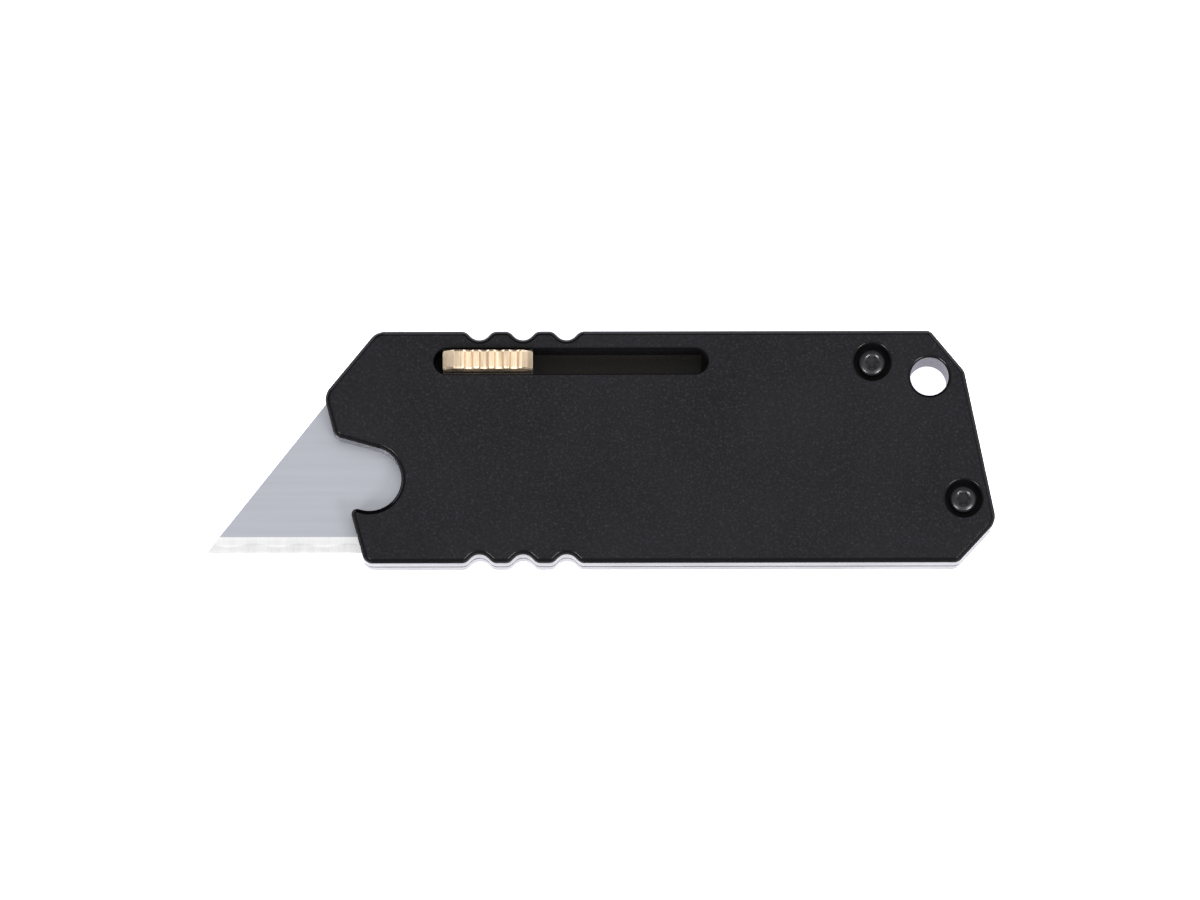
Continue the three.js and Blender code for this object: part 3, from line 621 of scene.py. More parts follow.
def anodised_material(finish):
    """Black hard anodising over a blasted grain, smoother where a chamfer was cut, with painted shade on the chamfers,
    painted shade and less specular on the sunk faces down inside, painted highlights along the machined edges and
    painted light on the deep channel floor.
    """
    material, tree, shader = new_material("black_anodised", metallic=0.0)
    grain = group_node(tree, blasted_grain, grain_scale=3600.0, cloud_scale=90.0)
    painted_light = group_node(tree, painted_edge_glint, width=0.00007, breakup=700.0)
    masks = group_node(tree, cut_faces, middle=SEAM_Z, depth=2.4 * MM)
    cut_face, sunk = masks["Mask"], masks["Sunk"]
    # Painted light: the floor of the slider's channel, deep in the slot, gets a paler colour that stands for light
    # reaching down to it.
    floor_depth = (REAR_HIGH.z - REAR_LOW.z) * 0.93
    shallow = group_node(tree, cut_faces, middle=SEAM_Z, depth=floor_depth)["Deep"]
    floor = arithmetic(tree, "SUBTRACT", masks["Deep"], shallow)
    dark = Vector(finish.anodised)
    shade = mix_colours(tree, remap(tree, grain["Height"], 0.35, 0.65), dark * 0.2, dark * 1.75)
    specked = mix_colours(tree, grain["Speck"], shade, dark * 4.6)
    clouded = mix_colours(tree, arithmetic(tree, "MULTIPLY", grain["Cloud"], 0.3), specked, dark * 1.9)
    # Painted shade: slanted faces such as the chamfers and rims are darkened in colour to stand for the shade they
    # show.
    painted_chamfer_shade = mix_colours(tree, cut_face, clouded, dark * 0.5)
    # Painted highlight: the machined edges get a paler colour that stands for glints of light along them.
    edge_highlighted = mix_colours(tree, arithmetic(tree, "MULTIPLY", painted_light["Mask"], 0.5), painted_chamfer_shade, dark * 5)
    # Painted shade: level faces sunk towards the middle height, such as the counterbore floors, are darkened to stand
    # for shade in the recesses.
    painted_recess_shade = mix_colours(tree, sunk, edge_highlighted, dark * 0.3)
    tree.links.new(mix_colours(tree, floor, painted_recess_shade, Vector(finish.channel_floor)), shader.inputs["Base Color"])
    rough = arithmetic(tree, "MULTIPLY_ADD", grain["Cloud"], 0.06, 0.3)
    rougher = arithmetic(tree, "MULTIPLY_ADD", grain["Speck"], 0.1, rough)
    smoother = arithmetic(tree, "MULTIPLY_ADD", cut_face, -0.16, rougher)
    tree.links.new(smoother, shader.inputs["Roughness"])
    gloss = arithmetic(tree, "MULTIPLY_ADD", cut_face, -0.06, 0.19)
    # The sunk faces also lose specular, along with the painted shade in the recesses.
    tree.links.new(arithmetic(tree, "MULTIPLY_ADD", sunk, -0.12, gloss), shader.inputs["Specular IOR Level"])
    bump(tree, shader, grain["Height"], 0.000012, 0.7)
    return material


def blade_material(finish):
    """Ground blade steel, with bright bands along the edge and lines from the wheel."""
    material, tree, shader = new_material("blade_steel", metallic=1.0)
    along = object_vector(tree, (0.02, 1.0, 1.0))
    lines = group_node(tree, brushed_lines, scale=9000.0, vector=along)
    across = object_vector(tree, (1.0, 0.03, 1.0))
    honing = group_node(tree, brushed_lines, scale=5000.0, vector=across)
    flat = Vector(finish.blade_steel)
    sizes = bpy.context.scene.knife_blade
    split = tree.nodes.new("ShaderNodeSeparateXYZ")
    tree.links.new(object_vector(tree), split.inputs[0])
    grind_top = BLADE_LOW.y + sizes.grind
    ground = remap(tree, split.outputs["Y"], grind_top + 0.02 * MM, grind_top - 0.02 * MM)
    phase = arithmetic(tree, "MULTIPLY", split.outputs["X"], 2 * math.pi / sizes.scallop)
    wave = arithmetic(tree, "MULTIPLY_ADD", arithmetic(tree, "SINE", phase), 0.22 * MM, split.outputs["Y"])
    honed_top = BLADE_LOW.y + sizes.honed
    honed = remap(tree, wave, honed_top + 0.1 * MM, honed_top - 0.1 * MM)
    plate = mix_colours(tree, lines["Streak"], flat * 0.985, flat * 1.01)
    bevel = mix_colours(tree, honing["Streak"], Vector((0.64, 0.64, 0.65)), Vector((0.70, 0.70, 0.70)))
    edge = mix_colours(tree, honing["Streak"], Vector((0.54, 0.54, 0.55)), Vector((0.61, 0.61, 0.61)))
    banded = mix_colours(tree, honed, bevel, edge)
    tree.links.new(mix_colours(tree, ground, plate, banded), shader.inputs["Base Color"])
    rough = arithmetic(tree, "MULTIPLY_ADD", lines["Streak"], 0.03, 0.32)
    tree.links.new(arithmetic(tree, "MULTIPLY_ADD", ground, -0.08, rough), shader.inputs["Roughness"])
    bump(tree, shader, lines["Height"], 0.0000004, 0.3)
    return material


def brass_material(finish):
    """Pale brass, cut across its length, a little darker in the grooves' lines, with highlights painted along its
    edges.
    """
    material, tree, shader = new_material("slider_brass", metallic=1.0)
    across = object_vector(tree, (1.0, 0.05, 0.4))
    lines = group_node(tree, brushed_lines, scale=3600.0, vector=across)
    grain = group_node(tree, blasted_grain, grain_scale=6000.0, cloud_scale=500.0)
    painted_light = group_node(tree, painted_edge_glint, width=0.00012, breakup=1500.0)
    base = Vector(finish.brass)
    streaked = mix_colours(tree, lines["Streak"], base * 0.5, base * 1.38)
    clouded = mix_colours(tree, arithmetic(tree, "MULTIPLY", grain["Cloud"], 0.4), streaked, base * 0.9)
    # Painted highlight: a pale brass colour along the edges stands for glints of light.
    bright = mix_colours(tree, painted_light["Mask"], clouded, Vector((0.98, 0.86, 0.68)))
    tree.links.new(bright, shader.inputs["Base Color"])
    tree.links.new(arithmetic(tree, "MULTIPLY_ADD", lines["Streak"], 0.1, 0.3), shader.inputs["Roughness"])
    bump(tree, shader, lines["Height"], 0.00002, 0.7)
    return material


def oxide_material(name, base, specular):
    """Black oxide on steel: satin, with a faint grain and highlights painted along its edges."""
    material, tree, shader = new_material(name, metallic=0.0, specular=specular)
    grain = group_node(tree, blasted_grain, grain_scale=5000.0, cloud_scale=700.0)
    painted_light = group_node(tree, painted_edge_glint, width=0.00007, breakup=1800.0)
    base = Vector(base)
    shade = mix_colours(tree, grain["Cloud"], base, base * 1.8)
    # Painted highlight: the edges get a paler colour that stands for glints of light.
    tree.links.new(mix_colours(tree, painted_light["Mask"], shade, base * 7), shader.inputs["Base Color"])
    tree.links.new(arithmetic(tree, "MULTIPLY_ADD", grain["Cloud"], 0.08, 0.2), shader.inputs["Roughness"])
    bump(tree, shader, grain["Height"], 0.000006, 0.4)
    return material


def bare_metal(name, base, roughness, stretch=(1.0, 0.05, 1.0)):
    """Bare metal with machining lines and cloudy roughness."""
    material, tree, shader = new_material(name, metallic=1.0)
    lines = group_node(tree, brushed_lines, scale=3000.0, vector=object_vector(tree, stretch))
    grain = group_node(tree, blasted_grain, grain_scale=6000.0, cloud_scale=600.0)
    base = Vector(base)
    streaked = mix_colours(tree, lines["Streak"], base * 0.85, base * 1.1)
    tree.links.new(mix_colours(tree, grain["Cloud"], streaked, base), shader.inputs["Base Color"])
    rough = arithmetic(tree, "MULTIPLY_ADD", grain["Cloud"], 0.12, roughness)
    tree.links.new(rough, shader.inputs["Roughness"])
    bump(tree, shader, lines["Height"], 0.000008, 0.4)
    return material


# ---------- shapes ----------


def outline_places(sizes):
    """The named corners of the scales' outline, before rounding, in the frame's own place."""
    nose_x = BLADE_LOW.x + sizes.blade_reach
    tail_x = nose_x + sizes.body_length
    top, foot = FRONT_HIGH.y, FRONT_LOW.y
    lean = math.tan(sizes.front_lean)
    nose_y = top - sizes.nose_drop
    tail_low_y = foot + sizes.tail_foot_rise
    tail_high_y = top - sizes.tail_top_drop
    tail_high_x = tail_x - (tail_high_y - tail_low_y) * math.tan(sizes.tail_lean)
    hook_shift = sizes.hook_proud / math.cos(sizes.front_lean)

    def front_x(y, shift=0.0):
        return nose_x + (nose_y - y) * lean - shift

    eye = Vector((nose_x + sizes.finger_from_nose, foot + sizes.finger_from_foot))
    along = Vector((math.cos(sizes.finger_dip), -math.sin(sizes.finger_dip)))
    across = Vector((math.sin(sizes.finger_dip), math.cos(sizes.finger_dip)))

    def meeting(side, shift):
        start = eye + across * side * sizes.finger_radius
        away = (start.x - front_x(start.y, shift)) / (along.x + along.y * lean)
        return start - along * away

    return {
        "eye": eye,
        "hook_foot": Vector((front_x(foot, hook_shift), foot)),
        "tail_foot": Vector((tail_x - sizes.tail_foot_run, foot)),
        "tail_low": Vector((tail_x, tail_low_y)),
        "tail_high": Vector((tail_high_x, tail_high_y)),
        "tail_top": Vector((tail_high_x - sizes.tail_top_run, top)),
        "nose_top": Vector((nose_x + sizes.nose_run, top)),
        "nose": Vector((nose_x, nose_y)),
        "brow": meeting(1, 0.0),
        "hook_tip": meeting(-1, hook_shift),
    }


CORNER_RADII = {
    "hook_foot": 1.2 * MM,
    "tail_foot": 1.0 * MM,
    "tail_low": 1.9 * MM,
    "tail_high": 1.2 * MM,
    "tail_top": 0.8 * MM,
    "nose_top": 1.9 * MM,
    "nose": 2.0 * MM,
    "brow": 1.2 * MM,
    "hook_tip": 0.66 * MM,
}


def upright_slice(piece, start, end):
    """Cuts along the upright plane through two places and removes what lies on its left."""
    along = (end - start).normalized()
    slice_off(piece, (*start, 0), (-along.y, along.x, 0))


def grip_cutter(sizes):
    """A square bar stood on its edge, with that edge rounded: what mills one grip notch."""
    half_diagonal = 4 * MM
    side = half_diagonal / math.sqrt(2)
    bar = add_block("grip cutter", (-side, -side, -BEYOND), (side, side, FRONT_HIGH.z + BEYOND))
    bar.rotation_euler.z = math.radians(45)
    settle(bar)
    round_upright(bar, sizes.grip_bottom, [(0, -half_diagonal)])
    return bar, half_diagonal


def capsule(name, low, high, radius):
    """A block with fully rounded upright edges, as a slot cutter leaves."""
    piece = add_block(name, low, high)
    round_upright(piece, radius * 0.9999)
    return face_outwards(piece)


def scale_blank(sizes):
    """The front scale's outline as a block with its chamfered face, before anything is cut into it."""
    at = outline_places(sizes)
    rounded = break_size(sizes.edge_rounding)
    low = (at["nose"].x - BEYOND, FRONT_LOW.y, FRONT_LOW.z + rounded + sizes.seam_break)
    high = (at["tail_low"].x, FRONT_HIGH.y, FRONT_HIGH.z - sizes.chamfer)
    blank = add_block("scale blank", low, high)
    upright_slice(blank, at["nose"], at["nose_top"])
    upright_slice(blank, at["tail_top"], at["tail_high"])
    upright_slice(blank, at["tail_high"], at["tail_low"])
    upright_slice(blank, at["tail_low"], at["tail_foot"])
    upright_slice(blank, at["hook_foot"], at["hook_tip"])

    # The front edge above the finger notch is set back from the hook.
    setback = (at["nose"] - at["hook_foot"]).length
    shave = add_block("front shave", (-setback, 0, -BEYOND), (0, setback, FRONT_HIGH.z + BEYOND))
    shave.rotation_euler.z = sizes.front_lean
    shave.location = (*(at["brow"] + (at["brow"] - at["nose"]) * 0.3), 0)
    cut(blank, settle(shave))

    reach = 4 * sizes.finger_radius
    radius = sizes.finger_radius
    notch = capsule("finger cutter", (-reach, -radius, -BEYOND), (radius, radius, FRONT_HIGH.z + BEYOND), radius)
    notch.rotation_euler.z = -sizes.finger_dip
    notch.location = (*at["eye"], 0)
    cut(blank, settle(notch))

    cutter, half_diagonal = grip_cutter(sizes)
    shoulders = []
    for index in range(sizes.grip_count):
        x = at["nose"].x + sizes.grip_from_nose + index * sizes.grip_pitch
        for side, edge in ((1, FRONT_HIGH.y), (-1, FRONT_LOW.y)):
            mill = copy_of(cutter, "grip mill")
            mill.rotation_euler.z = 0 if side > 0 else math.pi
            mill.location = (x, edge + side * (half_diagonal - sizes.grip_half_width), 0)
            cut(blank, settle(mill))
            shoulders += [(x - sizes.grip_half_width, edge), (x + sizes.grip_half_width, edge)]
    discard(cutter)

    for name, radius in CORNER_RADII.items():
        round_upright(blank, radius, [at[name]])
    round_upright(blank, sizes.grip_shoulder, shoulders)

    face_outwards(blank)
    pick(blank, "FACE", lambda face: face.normal.z > 0.9)
    break_edge(sizes.edge_rounding, sizes.chamfer - rounded)
    leave()
    pick(blank, "FACE", lambda face: face.normal.z < -0.9)
    break_edge(sizes.edge_rounding, sizes.seam_break)
    leave()
    return blank


def blade_bay(openings, low, high):
    """What the blade sweeps in the scales, open at the front."""
    blade = bpy.context.scene.knife_blade
    gap = openings.clearance
    rear = BLADE_HIGH.x + TRAVEL + openings.end_clearance + gap
    bay = add_block(
        "blade bay", (BLADE_LOW.x - BEYOND, BLADE_LOW.y - gap, low), (rear, BLADE_HIGH.y + gap, high)
    )
    corner = Vector((rear, BLADE_LOW.y))
    leaning = Vector((-math.cos(blade.slant), math.sin(blade.slant)))
    upright_slice(bay, corner + leaning, corner)
    return bay


def channel(openings, low, high):
    """The channel that the carrier's bar and the slider run in."""
    return add_block(
        "channel",
        (SLIDER_LOW.x - openings.end_clearance, BLADE_HIGH.y + 0.55 * MM, low),
        (
            SLIDER_HIGH.x + TRAVEL + openings.end_clearance,
            FRONT_HIGH.y - openings.channel_wall,
            high,
        ),
    )


def front_scale(sizes, openings, blank):
    piece = copy_of(blank, "scale_front")
    under = FRONT_LOW.z - BEYOND
    roof = BLADE_HIGH.z + openings.clearance
    cut(piece, blade_bay(openings, under, roof), channel(openings, under, FRONT_HIGH.z - openings.front_wall))

    half = SLIDER_HIGH.y - SLOT_Y + openings.slot_side_gap
    slot_low = Vector((SLIDER_LOW.x - openings.slot_end_gap, SLOT_Y - half, SEAM_Z))
    slot_high = Vector((SLIDER_HIGH.x + TRAVEL + openings.slot_end_gap, SLOT_Y + half, FRONT_HIGH.z + BEYOND))
    cut(piece, capsule("slot cutter", slot_low, slot_high, half))

    for node in ("body_screw_upper", "body_screw_lower"):
        cut(piece, screw_borer(middle(node), openings))
    cut(piece, lanyard_borer(sizes, openings), *pin_bores(True))
    slot_rim(piece, slot_low, slot_high, openings.slot_rim)
    return smooth(piece)


def rim_rings(radius, rim):
    """The rings of a borer that break a round hole's rim at the front face, steep and then shallow."""
    return [
        (radius, FRONT_HIGH.z - rim),
        (radius + rim * 0.6, FRONT_HIGH.z - rim * 0.4),
        (radius + rim * 0.6 + 2.2 * (rim * 0.4 + BEYOND), FRONT_HIGH.z + BEYOND),
    ]


def screw_borer(place, openings):
    """What cuts a counterbore and its through hole down from the front face."""
    seat = FRONT_HIGH.z - openings.counterbore_depth
    rings = [
        (openings.hole_radius, FRONT_LOW.z - BEYOND),
        (openings.hole_radius, seat),
        (openings.counterbore_radius, seat),
        *rim_rings(openings.counterbore_radius, openings.counterbore_rim),
    ]
    return turn_up("screw borer", place, rings, sides=72)


def lanyard_borer(sizes, openings):
    """What cuts the lanyard hole, with the rim broken at the front face."""
    at = outline_places(sizes)
    place = (at["tail_low"].x - openings.lanyard_from_tail, FRONT_HIGH.y - openings.lanyard_from_top)
    rings = [(openings.lanyard_radius, -BEYOND), *rim_rings(openings.lanyard_radius, openings.lanyard_rim)]
    return turn_up("lanyard borer", place, rings, sides=96)


def turned_over(tool):
    """The same cutter for the rear face."""
    tool.scale.z = -1
    tool.location.z = FRONT_HIGH.z
    return face_outwards(settle(tool))


def pin_bores(in_front):
    """The bores in one scale that the threaded inserts and the dowels sit in."""
    bores = []
    for node in frame["nodes"]:
        if not node.startswith(("insert", "dowel")):
            continue
        low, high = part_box(node)
        radius = (high.x - low.x) / 2 + 0.03 * MM
        if in_front and high.z > SEAM_Z + BEYOND:
            bores.append(add_rod("pin bore", middle(node), radius, SEAM_Z - BEYOND, high.z + 0.05 * MM))
        if not in_front and low.z < SEAM_Z - BEYOND:
            bores.append(add_rod("pin bore", middle(node), radius, low.z - 0.05 * MM, SEAM_Z + BEYOND))
    return bores


def slot_rim(piece, low, high, rim):
    """Chamfers the slot's rim at the front face."""

    def on_rim(edge):
        spots = [vertex.co for vertex in edge.verts]
        inside = all(
            abs(spot.z - FRONT_HIGH.z) < TINY
            and low.x - TINY < spot.x < high.x + TINY
            and low.y - TINY < spot.y < high.y + TINY
            for spot in spots
        )
        return inside and any(abs(face.normal.z) < 0.1 for face in edge.link_faces)

    pick(piece, "EDGE", on_rim)
    bpy.ops.mesh.bevel(offset=rim, segments=3, affect="EDGES", clamp_overlap=False)
    leave()


def rear_scale(sizes, openings, blank):
    piece = copy_of(blank, "scale_rear")
    piece.scale.z = -1
    piece.location.z = FRONT_HIGH.z
    face_outwards(settle(piece))
    over = REAR_HIGH.z + BEYOND
    gap = openings.clearance
    floor = CARRIER_LOW.z - gap
    tongue_back = BLADE_LOW.z - 0.1 * MM - 1.2 * MM - gap
    cut(
        piece,
        blade_bay(openings, BLADE_LOW.z - gap, over),
        channel(openings, floor, over),
        add_block(
            "tongue bay",
            (CARRIER_LOW.x + 3.2 * MM, CARRIER_LOW.y - gap, tongue_back),
            (CARRIER_HIGH.x + TRAVEL + openings.end_clearance, BLADE_HIGH.y + 0.7 * MM, over),
        ),
    )
    cut(
        piece,
        add_block(
            "strip seat",
            STRIP_LOW - Vector((0.05, 0.05, 0.02)) * MM,
            (STRIP_HIGH.x + 0.05 * MM, STRIP_HIGH.y + 0.05 * MM, floor + 0.5 * BEYOND),
        ),
        turned_over(screw_borer(middle("body_screw_nose"), openings)),
        turned_over(lanyard_borer(sizes, openings)),
        *pin_bores(False),
    )
    return smooth(piece)


def grind_cutter(sizes, face):
    """What the two ground bands take off one face of the blade."""
    edge_half = sizes.edge_thickness / 2
    step_half = sizes.step_thickness / 2
    slope = (step_half - edge_half) / sizes.honed
    clear = (BLADE_HIGH.z - BLADE_LOW.z) / 2 + BEYOND
    section = [
        (sizes.grind, (BLADE_HIGH.z - BLADE_LOW.z) / 2),
        (sizes.honed, step_half),
        (-BEYOND, edge_half - slope * BEYOND),
        (-BEYOND, clear),
        (sizes.grind + BEYOND, clear),
        (sizes.grind + BEYOND, (BLADE_HIGH.z - BLADE_LOW.z) / 2 + 0.1 * BEYOND),
    ]
    start_x = BLADE_LOW.x - BEYOND
    places = [(start_x, BLADE_LOW.y + y, SEAM_Z + face * z) for y, z in section]
    cutter = trace("grind cutter", places)
    pick(cutter, "FACE", everything)
    run = BLADE_HIGH.x - BLADE_LOW.x + 2 * BEYOND
    bpy.ops.mesh.extrude_region_move(TRANSFORM_OT_translate={"value": (run, 0, 0)})
    leave()
    return face_outwards(cutter)


def blade_shape(sizes):
    piece = add_block("blade_ground", BLADE_LOW, BLADE_HIGH)
    slope = Vector((math.cos(sizes.slant), math.sin(sizes.slant)))
    tip = Vector((BLADE_LOW.x, BLADE_LOW.y))
    heel = Vector((BLADE_HIGH.x, BLADE_LOW.y))
    upright_slice(piece, tip, tip + slope)
    upright_slice(piece, heel + Vector((-slope.x, slope.y)), heel)

    mid_x = (BLADE_LOW.x + BLADE_HIGH.x) / 2
    for side in (-1, 1):
        x = mid_x + side * sizes.notch_spacing / 2
        half = sizes.notch_width / 2
        notch = add_block(
            "spine notch",
            (x - half, BLADE_HIGH.y - sizes.notch_depth, BLADE_LOW.z - BEYOND),
            (x + half, BLADE_HIGH.y + BEYOND, BLADE_HIGH.z + BEYOND),
        )
        bottom = BLADE_HIGH.y - sizes.notch_depth
        round_upright(notch, sizes.notch_radius, [(x - half, bottom), (x + half, bottom)])
        cut(piece, notch)

    cut(piece, grind_cutter(sizes, 1), grind_cutter(sizes, -1))
    return smooth(piece, math.radians(1))


def arc(centre, radius, start, end, steps):
    """Points (x, z) along an arc, turning from one angle to the other in degrees."""
    turns = [math.radians(start + (end - start) * step / steps) for step in range(steps + 1)]
    return [(centre[0] + radius * math.cos(turn), centre[1] + radius * math.sin(turn)) for turn in turns]


def slider_shape(sizes):
    """The slider's side profile, pushed out across its width and chamfered along both sides."""
    front, rear, crown = SLIDER_LOW.x, SLIDER_HIGH.x, SLIDER_HIGH.z
    shoulder = crown - sizes.ramp_drop
    foot_z = SLIDER_LOW.z + sizes.foot_depth
    half = sizes.groove_width / 2
    radius = (half**2 + sizes.groove_depth**2) / (2 * sizes.groove_depth)
    sweep = math.degrees(math.asin(half / radius))
    lip = sizes.lip
    profile = [
        (front + sizes.foot_inset, SLIDER_LOW.z),
        (front + sizes.foot_inset, foot_z),
        (front, foot_z),
        (front, shoulder - lip),
        (front + lip * 0.15, shoulder + lip * 0.35),
        (front + sizes.ramp - lip * 0.8, crown - lip * 1.7),
        (front + sizes.ramp - lip * 0.2, crown - lip * 0.6),
        (front + sizes.ramp + lip * 0.7, crown),
    ]
    middle_x = (front + rear) / 2 + sizes.groove_shift
    for index in range(sizes.groove_count):
        x = middle_x + (index - (sizes.groove_count - 1) / 2) * sizes.groove_pitch
        centre = (x, crown - sizes.groove_depth + radius)
        profile.append((x - half - lip, crown))
        profile.append((x - half - lip * 0.1, crown - lip * 0.25))
        profile += arc(centre, radius, -90 - sweep * 0.86, -90 + sweep * 0.86, 12)
        profile.append((x + half + lip * 0.1, crown - lip * 0.25))
        profile.append((x + half + lip, crown))
    profile += [
        (rear - sizes.ramp - lip * 0.7, crown),
        (rear - sizes.ramp + lip * 0.2, crown - lip * 0.6),
        (rear - sizes.ramp + lip * 0.8, crown - lip * 1.7),
        (rear - lip * 0.15, shoulder + lip * 0.35),
        (rear, shoulder - lip),
        (rear, foot_z),
        (rear - sizes.foot_inset, foot_z),
        (rear - sizes.foot_inset, SLIDER_LOW.z),
    ]
    chamfer = sizes.side_chamfer
    start_y = SLIDER_LOW.y + chamfer
    piece = trace("slider_grip", [(x, start_y, z) for x, z in profile])
    pick(piece, "FACE", everything)
    across = SLIDER_HIGH.y - SLIDER_LOW.y - 2 * chamfer
    bpy.ops.mesh.extrude_region_move(TRANSFORM_OT_translate={"value": (0, across, 0)})
    leave()
    face_outwards(piece)
    for side in (-1, 1):
        pick(piece, "FACE", lambda face: face.normal.y * side > 0.9)
        bpy.ops.mesh.inset(thickness=chamfer * 0.6, depth=chamfer, use_even_offset=True)
        leave()
    for node in ("slider_screw_front", "slider_screw_rear"):
        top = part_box(node)[1].z + 0.05 * MM
        cut(piece, add_rod("screw bore", middle(node), sizes.bore_radius, SLIDER_LOW.z - BEYOND, top))
    return smooth(piece)


def turn_up(name, place, rings, sides=48):
    """A turned piece, drawn up ring by ring from (radius, z) pairs."""
    first_radius, z = rings[0]
    bpy.ops.object.select_all(action="DESELECT")
    bpy.ops.mesh.primitive_circle_add(
        vertices=sides, radius=first_radius, fill_type="NGON", location=(place[0], place[1], z)
    )
    piece = settle(named(bpy.context.object, name))
    pick(piece, "FACE", everything)
    radius = first_radius
    for next_radius, next_z in rings[1:]:
        bpy.ops.mesh.extrude_region_move(TRANSFORM_OT_translate={"value": (0, 0, next_z - z)})
        share = next_radius / radius
        bpy.ops.transform.resize(value=(share, share, 1), center_override=(place[0], place[1], next_z))
        radius, z = next_radius, next_z
    leave()
    return face_outwards(piece)


def driver_socket(place, radius, top, depth):
    """A six-lobe socket cutter: a rod whose sides are drawn in between six lobes."""
    star = add_rod("driver cutter", place, radius, top - depth, top + BEYOND, sides=48)
    centre = Vector((place[0], place[1]))
    for step in range(1, 5):

        def between_lobes(vertex):
            turn = math.degrees(math.atan2(*(vertex.co.xy - centre).yx)) % 60
            return abs(min(turn, 60 - turn) - 7.5 * step) < 1

        share = 1 - 0.125 * (1 - math.cos(math.pi * step / 4))
        pick(star, "VERT", between_lobes)
        bpy.ops.transform.resize(value=(share, share, 1), center_override=(place[0], place[1], top))
        leave()
    return face_outwards(star)


def screw_shape(node, sizes, head_height, shank_radius):
    """A button-head screw in its CAD node's place, head up, with a six-lobe socket."""
    low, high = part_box(node)
    place = (low + high) / 2
    head_radius = (high.y - low.y) / 2
    from_rear = "nose" in node or "slider" in node
    tip_z, crown_z = (-high.z, -low.z) if from_rear else (low.z, high.z)
    seat_z = crown_z - head_height
    root = shank_radius - sizes.thread_depth
    rings = [(root * 0.8, tip_z)]
    turns = int((seat_z - tip_z) / sizes.thread_pitch) - 1
    for index in range(turns):
        base = tip_z + sizes.thread_pitch * (index + 0.4)
        rings += [(root, base), (shank_radius, base + sizes.thread_pitch / 2)]
    rings += [(root, seat_z - sizes.thread_pitch * 0.4), (root, seat_z)]
    rings += [(head_radius * 0.97, seat_z), (head_radius, seat_z + 0.05 * MM)]
    lip = 0.63  # where the crown meets the countersink round the socket, in head radii
    fall = sizes.crown_fall * head_radius
    rings.append((head_radius, crown_z - fall * (1 - lip**3) - 0.08 * head_radius))
    for share in (0.985, 0.95, 0.9, 0.85, 0.8, 0.74, 0.68, lip):
        blend = head_radius * 0.05 * max(0.0, share - 0.9) / 0.085
        rings.append((head_radius * share, crown_z - fall * (share**3 - lip**3) - blend))
    rings.append((head_radius * 0.5, crown_z - 0.13 * head_radius * 0.5))
    rings.append((head_radius * 0.2, crown_z - 0.13 * head_radius * 0.5))
    piece = turn_up(f"button_{node}", place, rings)
    cut(
        piece,
        driver_socket(place, head_radius * sizes.socket_share, crown_z, head_height * sizes.socket_depth),
    )
    if from_rear:
        piece.rotation_euler.x = math.pi
        piece.location.y = 2 * place.y
        settle(piece)
    return smooth(piece, math.radians(35))


# ---------- operators ----------


